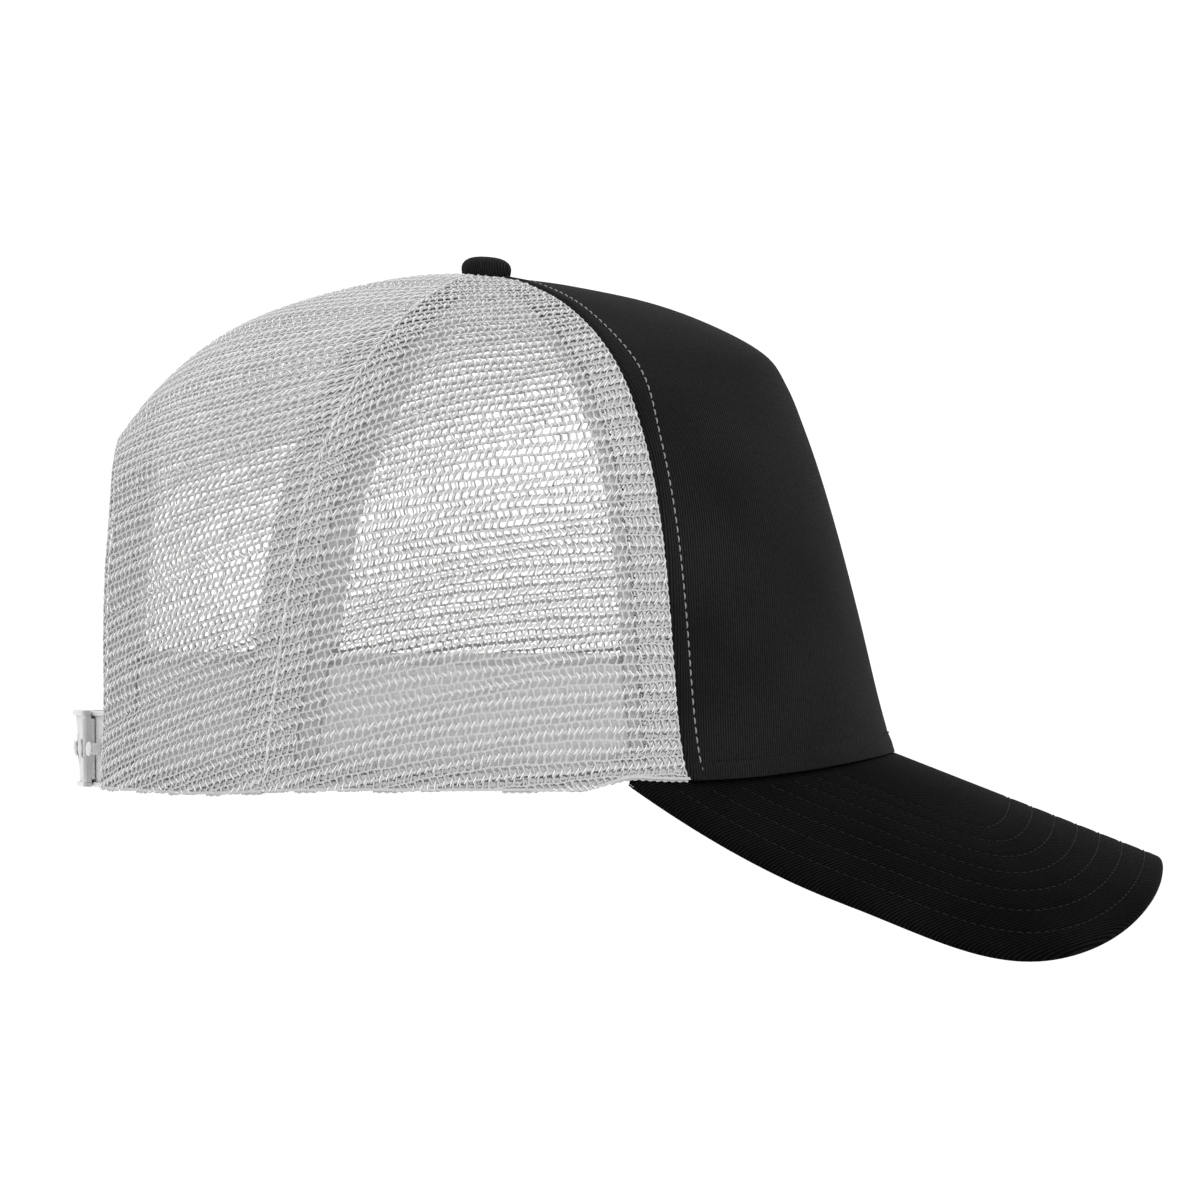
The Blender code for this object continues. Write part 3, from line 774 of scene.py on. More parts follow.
@dataclass(frozen=True)
class Stitching:
    """A row of lockstitches: short floats of thread that dive into the cloth at each end."""

    length: float = 1.75 * MM
    pitch: float = 2.4 * MM
    thickness: float = 0.42 * MM
    sunk: float = -0.14 * MM
    proud: float = 0.14 * MM
    zigzag: float = 0.0

    def sew(self, strands: Strands, line: Array, normals: Array) -> None:
        """Adds the stitches of one row.

        Args:
            strands: the mesh they go into.
            line: points along the row, on the cloth's surface.
            normals: the cloth's normals there.
        """
        along = lengths_along(line)
        starts = np.arange(self.pitch / 2, along[-1] - self.length, self.pitch)
        share = np.linspace(0.0, 1.0, 5)
        places = starts[:, None] + share[None, :] * self.length
        normal = unit(read_at(normals, along, places))
        lift = self.sunk + (self.proud - self.sunk) * np.sqrt(np.sin(np.pi * share))
        points = read_at(line, along, places) + normal * lift[None, :, None]
        if self.zigzag:
            across = unit(np.cross(normal, np.gradient(points, axis=1)))
            swing = (np.arange(len(starts)) % 2 * 2 - 1)[:, None] * (share[None, :] * 2 - 1) * self.zigzag
            points = points + across * swing[..., None]
        width = self.thickness * np.array([0.55, 0.95, 1.0, 0.95, 0.55])
        strands.add(points, normal, width, width * 0.8, sides=6)


@dataclass(frozen=True)
class TwillFront:
    """The tall front panel of black twill, its stiff lining and its stitching."""

    crown: CrownForm
    depth: tuple[float, float] = (0.0, 0.9 * MM)
    lining_depth: tuple[float, float] = (1.2 * MM, 2.1 * MM)
    lining_lift: float = 1.2 * MM
    hem_overlap: float = 0.3 * MM
    columns: int = 141
    hem_band: float = 4.6 * MM
    stitch_inset: tuple[float, float] = (4.5 * MM, 3.9 * MM)
    stitch_swell: float = 1.5 * MM
    stitch_swell_station: float = 6.3

    def inset(self, station: Array) -> Array:
        """Gives how far the top-stitching lies from the front seam; it is widest at the shoulder.

        Args:
            station: rings from the hem, numbered upwards.

        Returns:
            Lengths along the surface.
        """
        low, high = self.stitch_inset
        swell = self.stitch_swell * bump_at(station - self.stitch_swell_station, 1.2)
        return low + (high - low) * np.clip(station / self.crown.top_station, 0, 1) + swell

    def grid(self, lift: float) -> tuple[Array, Array, Array, Array, Array]:
        """Lays out the panel's grid.

        Args:
            lift: how far its lower edge is above the crown's hem.

        Returns:
            Stations, angles, distances from the nearer front seam, heights above the hem, and
            cloth coordinates in millimetres.
        """
        across = (1 - np.cos(np.pi * np.linspace(0, 1, self.columns))) / 2
        rise = np.concatenate([np.linspace(0, 7, 15), np.linspace(7, 100, 75)[1:]]) / 100
        crown = self.crown
        seam = crown.front_seam_angle
        low = crown.hem_station(np.interp(across, [0, 1], [-seam, seam]), lift)
        rise = rise * (1 - 0.35 * rise * (1 - rise))
        station = low[None, :] + (crown.top_station - low[None, :]) * rise[:, None]
        edge = crown.beside(crown.front_seam, -crown.seam_gap / 2)(station)
        angle = edge * (2 * across[None, :] - 1)
        width = crown.reach(station, edge * 0.5) * edge
        seam_distance = width * (1 - np.abs(2 * across[None, :] - 1))
        points = crown.point(station, angle)
        steps = np.linalg.norm(np.diff(points, axis=0), axis=-1)
        up = np.concatenate([np.zeros((1, self.columns)), np.cumsum(steps, axis=0)])
        cloth = np.stack([width * (2 * across[None, :] - 1), up], axis=-1) / MM
        return station, angle, seam_distance, up, cloth

    def relief(self, station: Array, seam_distance: Array, up: Array) -> Array:
        """Gives how far the cloth stands out: turned in at the seam, drawn in along the stitches.

        Args:
            station: rings from the hem, numbered upwards.
            seam_distance: how far each point lies from the seam.
            up: how far each point lies above the hem.

        Returns:
            Heights above the cloth's own surface.
        """
        inset = self.inset(station)
        seam = 0.5 * MM * (1 - smooth_step(0.0, 1.4 * MM, seam_distance))
        ridge = 0.28 * MM * smooth_step(0.8 * MM, 1.8 * MM, seam_distance) * (
            1 - smooth_step(-0.7 * MM, 0.3 * MM, seam_distance - inset)
        )
        groove = 0.22 * MM * bump_at(seam_distance - inset, 0.6 * MM)
        hem = 0.3 * MM * (1 - smooth_step(-0.8 * MM, 0.2 * MM, up - self.hem_band))
        hem_groove = 0.25 * MM * bump_at(up - self.hem_band, 0.6 * MM)
        slack = 0.25 * MM * np.sin(up / (23 * MM) + 1.0) * np.sin(seam_distance / (31 * MM))
        return ridge - seam - groove + hem - hem_groove + slack

    def build(self, finishes: Finishes) -> None:
        """Builds the panel, the lining and both kinds of stitching.

        Args:
            finishes: the materials.
        """
        crown = self.crown
        station, angle, seam_distance, up, cloth = self.grid(-self.hem_overlap)
        relief = self.relief(station, seam_distance, up)
        outer = crown.layer(station, angle, self.depth[0] - relief)
        inner = crown.layer(station, angle, self.depth[1])
        panel = shell("front_panel_twill", outer, inner, cloth)
        dress(panel, finishes.twill, "black_twill", "front_panel")

        station, angle, _, _, cloth = self.grid(self.lining_lift)
        faces = [crown.layer(station, angle, depth) for depth in self.lining_depth]
        dress(shell("front_lining", *faces, cloth), finishes.buckram, "white_buckram", "front_backing")
        self.sew_seams(finishes)
        self.sew_hem(finishes)

    def sew_seams(self, finishes: Finishes) -> None:
        """Sews the grey row beside each front seam.

        Args:
            finishes: the materials.
        """
        crown, strands = self.crown, Strands()
        station = np.linspace(crown.hem_station(crown.front_seam_angle) + 0.03, 11.55, 270)
        for side in Side:
            seam = crown.front_seam(station)
            angle = side.value * (seam - self.inset(station) / crown.reach(station, seam))
            line = crown.layer(station, angle, 0.06 * MM)
            Stitching().sew(strands, line, crown.normal(station, angle))
        piece = strands.build("front_seam_topstitch")
        dress(piece, finishes.grey_thread, "grey_mesh")

    def sew_hem(self, finishes: Finishes) -> None:
        """Sews the black row above the visor.

        Args:
            finishes: the materials.
        """
        crown, strands = self.crown, Strands()
        reach = crown.front_seam_angle - 0.06
        angle = np.linspace(-reach, reach, 200)
        station = crown.hem_station(angle, self.hem_band)
        line = crown.layer(station, angle, -0.02 * MM)
        Stitching(length=1.8 * MM).sew(strands, line, crown.normal(station, angle))
        dress(strands.build("front_hem_topstitch"), finishes.black_thread, "black_twill")


@dataclass
class Yarns:
    """The yarns of one net panel, and the seeded noise that makes them uneven."""

    seed: int
    bands: Strands = field(default_factory=Strands)
    links: Strands = field(default_factory=Strands)
    floats: Strands = field(default_factory=Strands)

    def __post_init__(self) -> None:
        """Starts the noise."""
        self.noise = np.random.default_rng(self.seed)


@dataclass(frozen=True)
class KnitPanel:
    """One panel of knitted net: bands of yarn joined by short slanting links.

    Places on the cloth are (along, rise): the distance behind the panel's middle line, and the
    distance up the crown.
    """

    crown: CrownForm
    side: Side
    name: str
    start: AngleLine
    end: AngleLine
    middle: AngleLine
    slope: tuple[float, float, float]
    hole_pitch: float = 1.95 * MM
    row_pitch: float = 2.3 * MM
    half_span: float = 70.0 * MM
    seed: int = 1
    first_row: int = -9
    last_row: int = 84
    bold_band: float = 1.05 * MM
    fine_band: float = 0.6 * MM
    link_width: float = 0.46 * MM
    link_slant: float = 0.3 * MM
    float_width: float = 0.37 * MM
    float_slant: float = 0.5 * MM
    float_rise: float = 0.85 * MM
    snap: float = 0.9 * MM
    hem_snap: float = 1.2 * MM
    hem_fold: float = 6.0 * MM
    fold_fullness: float = 1.7
    # (height above the hem, depth) of the cords of yarn that fill the hem's fold.
    hem_cords: tuple[tuple[float, float], ...] = (
        (0.15 * MM, 0.4 * MM), (0.95 * MM, 1.0 * MM), (1.85 * MM, 1.05 * MM), (2.8 * MM, 1.1 * MM),
    )

    def rise_table(self) -> tuple[Array, Array]:
        """Gives stations, and how far up the crown each lies at the panel's middle.

        Returns:
            The stations and the lengths.
        """
        stations = np.linspace(self.crown.lowest_station, self.crown.top_station, 500)
        line = self.crown.point(stations, np.full(stations.shape, self.middle(np.zeros(1))[0]))
        rise = lengths_along(line)
        return stations, rise - np.interp(0.0, stations, rise)

    @property
    def phase(self) -> float:
        """How far this side's rows and columns are from the other side's, as a share of their pitch."""
        return 0.5 if self.side is Side.LEFT else 0.0

    def columns(self) -> Array:
        """Gives the places of the columns of holes along a row."""
        return np.arange(-self.half_span, self.half_span, self.hole_pitch)

    def row_rise(self, along: Array, row: float) -> Array:
        """Gives how far up the crown a knit row lies; rows climb towards the front.

        Args:
            along: distances behind the panel's middle line.
            row: the row's number, counted from the hem.

        Returns:
            The distances up the crown.
        """
        level, bend, flare = self.slope
        rise = (row + self.phase) * self.row_pitch
        high = smooth_step(70 * MM, 120 * MM, np.asarray(rise))
        short_wave = 0.28 * MM * np.sin(along / (8.5 * MM) + 0.9 * row)
        long_wave = 0.2 * MM * np.sin(along / (19 * MM) + 0.37 * row)
        fall = level * along + bend * along**2 / MM + flare * high * along * np.abs(along) / MM
        return rise - fall + (short_wave + long_wave)

    def place(
        self, along: Array, rise: Array, start: AngleLine, end: AngleLine, ceiling: float
    ) -> tuple[Array, ...]:
        """Finds places on the crown and which of them are on the panel.

        Args:
            along: distances behind the panel's middle line.
            rise: distances up the crown.
            start: the angle of the panel's front edge.
            end: the angle of its rear edge.
            ceiling: how far above the hem the cloth reaches.

        Returns:
            Stations, angles from the front, and whether each is on the panel. A place just
            outside is moved to the edge and counts.
        """
        stations, table = self.rise_table()
        station = np.interp(rise, table, stations)
        middle = self.middle(station)
        angle = middle
        for _ in range(3):
            angle = middle + along / self.crown.reach(station, (middle + angle) / 2)
        low, high = start(station), end(station)
        reach = self.crown.reach(station, angle)
        hem = self.crown.hem_station(np.clip(angle, low, high))
        slack = self.snap / reach
        inside = (angle > low - slack) & (angle < high + slack) & (rise < table[-1] - 0.5 * MM)
        above_hem = rise - np.interp(hem, stations, table)
        inside &= (above_hem > -self.hem_snap) & (above_hem < ceiling)
        return np.maximum(station, hem), np.clip(angle, low, high), inside

    def knit(
        self, yarns: Yarns, start: AngleLine, end: AngleLine, depth: float,
        row_shift: float = 0.0, mirror: bool = False, ceiling: float = 1.0, fullness: float = 1.0,
    ) -> None:
        """Adds one layer of net.

        Args:
            yarns: the strands it goes into.
            start: the angle of the layer's front edge.
            end: the angle of its rear edge.
            depth: the depth of the yarns' middle.
            row_shift: a share of a row by which the layer is moved up.
            mirror: whether the links slant the other way, as on cloth that is folded back.
            ceiling: how far above the hem the layer reaches.
            fullness: how much wider its bands are than on cloth that is stretched flat.
        """
        step = self.hole_pitch / 4
        along = np.arange(-self.half_span, self.half_span, step)
        crown, sign = self.crown, self.side.value
        for row in range(self.first_row, self.last_row):
            turn = 4 * np.pi * along / self.hole_pitch + np.pi * (row % 2)
            drift = yarns.noise.uniform(0, 2 * np.pi, 2)
            wave = 0.13 * np.sin(turn) + 0.11 * np.sin(along / (1.3 * MM) + drift[0])
            wave += 0.1 * np.sin(along / (3.1 * MM) + drift[1])
            rise = self.row_rise(along, row + row_shift) + wave * MM
            station, angle, inside = self.place(along, rise, start, end, ceiling)
            band = fullness * (self.bold_band if row % 2 else self.fine_band)
            width = band * (1 + 0.28 * np.cos(turn / 2 + drift[0]))
            thick = 0.44 * MM * (1 + 0.2 * np.sin(turn))
            line = crown.layer(station, sign * angle, depth)
            normal = crown.normal(station, sign * angle)
            edges = np.flatnonzero(np.diff(np.concatenate([[False], inside, [False]]).astype(int)))
            for begin, stop in edges.reshape(-1, 2):
                part = np.s_[None, begin:stop]
                yarns.bands.add(line[part], normal[part], width[part], thick[part])
            self.link(yarns, row, (start, end, ceiling), depth, row_shift, mirror)
            if row % 2 and not mirror:
                self.float_over(yarns, row, (start, end, ceiling), depth, row_shift)

    def link(
        self, yarns: Yarns, row: int, edges: tuple[AngleLine, AngleLine, float], depth: float,
        row_shift: float, mirror: bool,
    ) -> None:
        """Adds the links between a row and the one above it.

        Args:
            yarns: what the panel has knitted so far.
            row: the row's number.
            edges: the panel's two edges, and how far the knit stays inside them.
            depth: the depth under the outer surface.
            row_shift: how far the row is moved, in rows.
            mirror: whether the links slant the other way.
        """
        odd = row % 2
        base = self.columns() + (odd + self.phase) * self.hole_pitch / 2
        jitter = yarns.noise.normal(0, 1, (3, len(base), 1))
        lean = self.link_slant * (1 if odd else -1) * (-1 if mirror else 1) * (1 + 0.35 * jitter[0])
        share = np.array([0.0, 0.22, 0.5, 0.78, 1.0])
        bend = 0.12 * MM * jitter[1] * np.sin(np.pi * share)
        along = base[:, None] + 0.13 * MM * jitter[2] + lean * (share[None, :] - 0.5) * 2 + bend
        low = self.row_rise(along, row + row_shift)
        high = self.row_rise(along, row + 1 + row_shift)
        rise = low + (high - low) * share[None, :]
        station, angle, inside = self.place(along, rise, *edges)
        keep = inside.all(axis=1)
        station, angle = station[keep], angle[keep] * self.side.value
        proud = depth - 0.16 * MM * np.sin(np.pi * share)[None, :]
        line = self.crown.layer(station, angle, proud)
        normal = self.crown.normal(station, angle)
        width = self.link_width * np.array([2.3, 1.3, 1.0, 1.3, 2.3]) * (1 + 0.15 * jitter[1][keep])
        yarns.links.add(line, normal, width, 0.36 * MM)

    def float_over(
        self, yarns: Yarns, row: int, edges: tuple[AngleLine, AngleLine, float], depth: float,
        row_shift: float,
    ) -> None:
        """Adds the slanting floats that cross a bold row on the outside; their brighter yarn is painted
        highlight, the glints of the glossy knit.

        Args:
            yarns: what the panel has knitted so far.
            row: the row's number.
            edges: the panel's two edges, and how far the knit stays inside them.
            depth: the depth under the outer surface.
            row_shift: how far the row is moved, in rows.
        """
        base = self.columns() + self.phase * self.hole_pitch / 2
        jitter = yarns.noise.normal(0, 1, (3, len(base), 1))
        share = np.linspace(-1, 1, 5)[None, :]
        lean = -self.float_slant * (1 + 0.25 * jitter[0]) * (1 if row % 14 < 10 else -1)
        along = base[:, None] + 0.12 * MM * jitter[1] + lean * share
        rise = self.row_rise(along, row + row_shift) + self.float_rise * (1 + 0.12 * jitter[2]) * share
        station, angle, inside = self.place(along, rise, *edges)
        keep = inside.all(axis=1)
        station, angle = station[keep], angle[keep] * self.side.value
        proud = depth - 0.36 * MM * (1 - share**4) - 0.02 * MM
        line = self.crown.layer(station, angle, np.broadcast_to(proud, station.shape))
        width = self.float_width * np.array([0.7, 1.0, 1.0, 1.0, 0.7])
        yarns.floats.add(line, self.crown.normal(station, angle), width, 0.26 * MM)

    def edge_line(self, edge: AngleLine, depth: float) -> tuple[Array, Array]:
        """Gives the points and normals of a folded edge, wavy where the yarns turn over it.

        Args:
            edge: the angle of the edge at each station.
            depth: the depth under the outer surface.

        Returns:
            The points and the normals.
        """
        crown = self.crown
        low = crown.hem_station(edge(np.zeros(1)))[0]
        station = np.linspace(low, crown.top_station - 0.1, 420)
        angle = edge(station)
        along = lengths_along(crown.point(station, angle))
        angle = angle + 0.16 * MM * np.sin(2 * np.pi * along / self.row_pitch) / crown.reach(station, angle)
        turn = self.side.value * angle
        return crown.layer(station, turn, depth), crown.normal(station, turn)

    def hem_line(self, lift: float, depth: float) -> tuple[Array, Array]:
        """Gives the points and normals of the panel's folded lower edge.

        Args:
            lift: how far the line lies above the lower edge.
            depth: the depth under the outer surface.

        Returns:
            The points and the normals.
        """
        crown = self.crown
        low, high = self.start(np.zeros(1))[0], self.end(np.zeros(1))[0]
        angle = np.linspace(low, high, 160)
        station = crown.hem_station(angle, lift)
        turn = self.side.value * angle
        return crown.layer(station, turn, depth), crown.normal(station, turn)

    def build(self, finishes: Finishes, folds: list[tuple[AngleLine, AngleLine]], node: str) -> None:
        """Builds the panel.

        Args:
            finishes: the cap's materials.
            folds: front and rear edges of the seam allowances that are folded behind the panel.
            node: the frame's node that it stands for.
        """
        yarns = Yarns(self.seed)
        self.knit(yarns, self.start, self.end, 0.28 * MM)
        for start, end in folds:
            self.knit(yarns, start, end, 0.68 * MM, row_shift=0.35, mirror=True, fullness=self.fold_fullness)
            self.knit(yarns, start, end, 0.95 * MM, row_shift=0.7, fullness=self.fold_fullness)
        self.knit(
            yarns, self.start, self.end, 0.72 * MM, row_shift=0.4, mirror=True, ceiling=self.hem_fold,
            fullness=self.fold_fullness,
        )
        for edge in (self.start, self.end):
            for depth in (0.25 * MM, 0.7 * MM):
                line, normal = self.edge_line(edge, depth)
                yarns.bands.add(line[None], normal[None], 0.45 * MM, 0.5 * MM)
        for lift, depth in self.hem_cords:
            line, normal = self.hem_line(lift, depth)
            yarns.bands.add(line[None], normal[None], 0.9 * MM, 0.8 * MM)
        dress(yarns.bands.build(self.name), finishes.knit, "grey_mesh", node)
        dress(yarns.links.build(f"{self.name}_links"), finishes.knit, "grey_mesh", node)
        # The floats carry the knit's painted highlights in their brighter yarn.
        dress(yarns.floats.build(f"{self.name}_floats"), finishes.floats, "grey_mesh", node)


@dataclass(frozen=True)
class KnitCrown:
    """The four net panels and the zigzag rows that show along their seams."""

    crown: CrownForm
    front_fold: float = 9.0 * MM
    side_fold: float = 7.0 * MM
    side_slope: tuple[float, float, float] = (0.14, 0.0013, 0.006)
    back_slope: tuple[float, float, float] = (0.287, 0.0, 0.003)
    back_middle: float = math.radians(152.0)

    def build(self, finishes: Finishes) -> None:
        """Builds the panels of both sides, then the seam rows.

        Args:
            finishes: the materials.
        """
        crown = self.crown
        gap = crown.seam_gap / 2
        for side in Side:
            start = crown.beside(crown.front_seam, gap)
            end = crown.beside(crown.side_seam, -gap)
            panel = KnitPanel(
                crown, side, f"side_net_{side.label}", start, end,
                lambda station: (start(station) + end(station)) / 2, self.side_slope,
                seed=3 + side.value,
            )
            folds = [
                (start, crown.beside(crown.front_seam, self.front_fold)),
                (crown.beside(crown.side_seam, -self.side_fold), end),
            ]
            panel.build(finishes, folds, f"side_mesh_{side.label}")

            rear_start = crown.beside(crown.side_seam, gap)
            back = KnitPanel(
                crown, side, f"back_net_{side.label}", rear_start, crown.arch_edge,
                lambda station: np.full(np.shape(station), self.back_middle), self.back_slope,
                row_pitch=1.95 * MM, last_row=96, seed=8 + side.value,
            )
            folds = [(rear_start, crown.beside(crown.side_seam, self.side_fold))]
            back.build(finishes, folds, f"back_mesh_{side.label}")
        self.sew(finishes)

    def sew(self, finishes: Finishes) -> None:
        """Sews the rows that close the side seams and the centre-back seam.

        Args:
            finishes: the materials.
        """
        crown, strands = self.crown, Strands()
        zigzag = Stitching(length=2.0 * MM, pitch=2.2 * MM, thickness=0.5 * MM, zigzag=0.35 * MM)
        for side in Side:
            station = np.linspace(0.05, 11.3, 300)
            angle = side.value * crown.side_seam(station)
            zigzag.sew(strands, crown.layer(station, angle, 0.05 * MM), crown.normal(station, angle))
        station = np.linspace(6.0, 11.3, 120)
        angle = np.full(station.shape, np.pi)
        zigzag.sew(strands, crown.layer(station, angle, 0.05 * MM), crown.normal(station, angle))
        dress(strands.build("seam_stitching"), finishes.pale_thread, "grey_mesh")


@dataclass(frozen=True)
class Tapes:
    """The woven tapes behind the seams and round the back opening."""

    crown: CrownForm
    front_depth: tuple[float, float] = (2.5 * MM, 3.1 * MM)
    mesh_depth: tuple[float, float] = (1.3 * MM, 1.9 * MM)
    front_span: tuple[float, float] = (-6.0 * MM, 13.0 * MM)
    side_span: tuple[float, float] = (-13.0 * MM, 7.0 * MM)
    back_half_width: float = 6.0 * MM
    binding_width: float = 12.0 * MM
    lift: float = 1.5 * MM
    top_station: float = 10.2
    back_foot_station: float = 6.15

    def strip(
        self, name: str, station: Array, angle: Array, depths: tuple[Array, Array], width: float
    ) -> bpy.types.Object:
        """Makes a tape from its grid, a little hollow along its two rows of stitches.

        Args:
            name: the piece's name.
            station: the grid's stations.
            angle: the grid's angles from the front.
            depths: the depths of the outer and the inner face.
            width: the tape's width.

        Returns:
            The tape.
        """
        crown = self.crown
        across = np.linspace(-width / 2, width / 2, station.shape[1])
        along = lengths_along(crown.point(station[:, 0], angle[:, 0]))
        dent = 0.12 * MM * bump_at(np.abs(across) - width / 2 + 1.6 * MM, 0.7 * MM)
        cloth = np.stack(np.broadcast_arrays(across[None, :], along[:, None]), axis=-1) / MM
        outer = crown.layer(station, angle, depths[0] + dent[None, :])
        inner = crown.layer(station, angle, depths[1])
        return shell(name, outer, inner, cloth)

    def build(self, finishes: Finishes) -> None:
        """Builds all the tapes.

        Args:
            finishes: the materials.
        """
        crown, columns = self.crown, 15
        for side in Side:
            climb = (self.front_depth[0] - self.mesh_depth[0]) * smooth_step(
                0.5 * MM, 2.5 * MM, np.linspace(*self.front_span, columns)
            )
            front_depths = tuple(depth - climb for depth in self.front_depth)
            for seam, name, depths, span in (
                (crown.front_seam, "front_seam_tape", front_depths, self.front_span),
                (crown.side_seam, "side_seam_tape", self.mesh_depth, self.side_span),
            ):
                low = crown.hem_station(seam(np.zeros(1)), self.lift)[0]
                rows = np.linspace(low, self.top_station, 90)
                station = np.repeat(rows[:, None], columns, axis=1)
                across = np.linspace(*span, columns)[None, :]
                angle = seam(station) + across / crown.reach(station, seam(station))
                piece = self.strip(
                    f"{name}_{side.label}_woven", station, side.value * angle, depths, span[1] - span[0]
                )
                dress(piece, finishes.tape, "grey_tape", f"{name}_{side.label}")
        self.build_back(finishes)
        self.build_binding(finishes)

    def build_back(self, finishes: Finishes) -> None:
        """Builds the tape behind the centre-back seam.

        Args:
            finishes: the materials.
        """
        rows = np.linspace(self.back_foot_station, self.top_station, 40)
        station = np.repeat(rows[:, None], 9, axis=1)
        across = np.linspace(-self.back_half_width, self.back_half_width, 9)[None, :]
        angle = self.crown.back_angle(station, across) % (2 * np.pi)
        piece = self.strip("back_seam_tape_woven", station, angle, self.mesh_depth, 2 * self.back_half_width)
        dress(piece, finishes.tape, "grey_tape", "back_seam_tape")

    def binding_path(self) -> tuple[Array, Array, Array]:
        """Gives the opening's outline: which way is outwards at each point, and its height.

        Returns:
            Both parts of the outward direction, and the height.
        """
        crown = self.crown
        spring = crown.arch_top - crown.arch_half_width
        legs = np.linspace(1.2 * MM, spring, 30)
        turns = np.linspace(0, np.pi, 61)[1:-1]
        out_y = np.concatenate([-np.ones(30), -np.cos(turns), np.ones(30)])
        out_z = np.concatenate([np.zeros(30), np.sin(turns), np.zeros(30)])
        height = np.concatenate([legs, np.full(len(turns), spring), legs[::-1]])
        return out_y, out_z, height

    def build_binding(self, finishes: Finishes) -> None:
        """Builds the tape round the opening and the two rows that hold it.

        Args:
            finishes: the materials.
        """
        crown, columns = self.crown, 13
        out_y, out_z, height = self.binding_path()
        reach = crown.arch_half_width + np.linspace(0, self.binding_width, columns)[None, :]
        station = crown.station_of_height(height[:, None] + out_z[:, None] * reach)
        angle = crown.back_angle(station, out_y[:, None] * reach) % (2 * np.pi)
        piece = self.strip("opening_binding_woven", station, angle, self.mesh_depth, self.binding_width)
        dress(piece, finishes.tape, "grey_tape", "opening_binding")
        strands = Strands()
        for inset in (1.6 * MM, self.binding_width - 1.8 * MM):
            reach = crown.arch_half_width + inset
            station = crown.station_of_height(height + out_z * reach)
            angle = crown.back_angle(station, out_y * reach) % (2 * np.pi)
            for depth, sign in ((-0.02 * MM, 1.0), (self.mesh_depth[1], -1.0)):
                line = crown.layer(station, angle, depth)
                Stitching(thickness=0.36 * MM).sew(strands, line, crown.normal(station, angle) * sign)
        dress(strands.build("opening_stitching"), finishes.pale_thread, "grey_mesh")


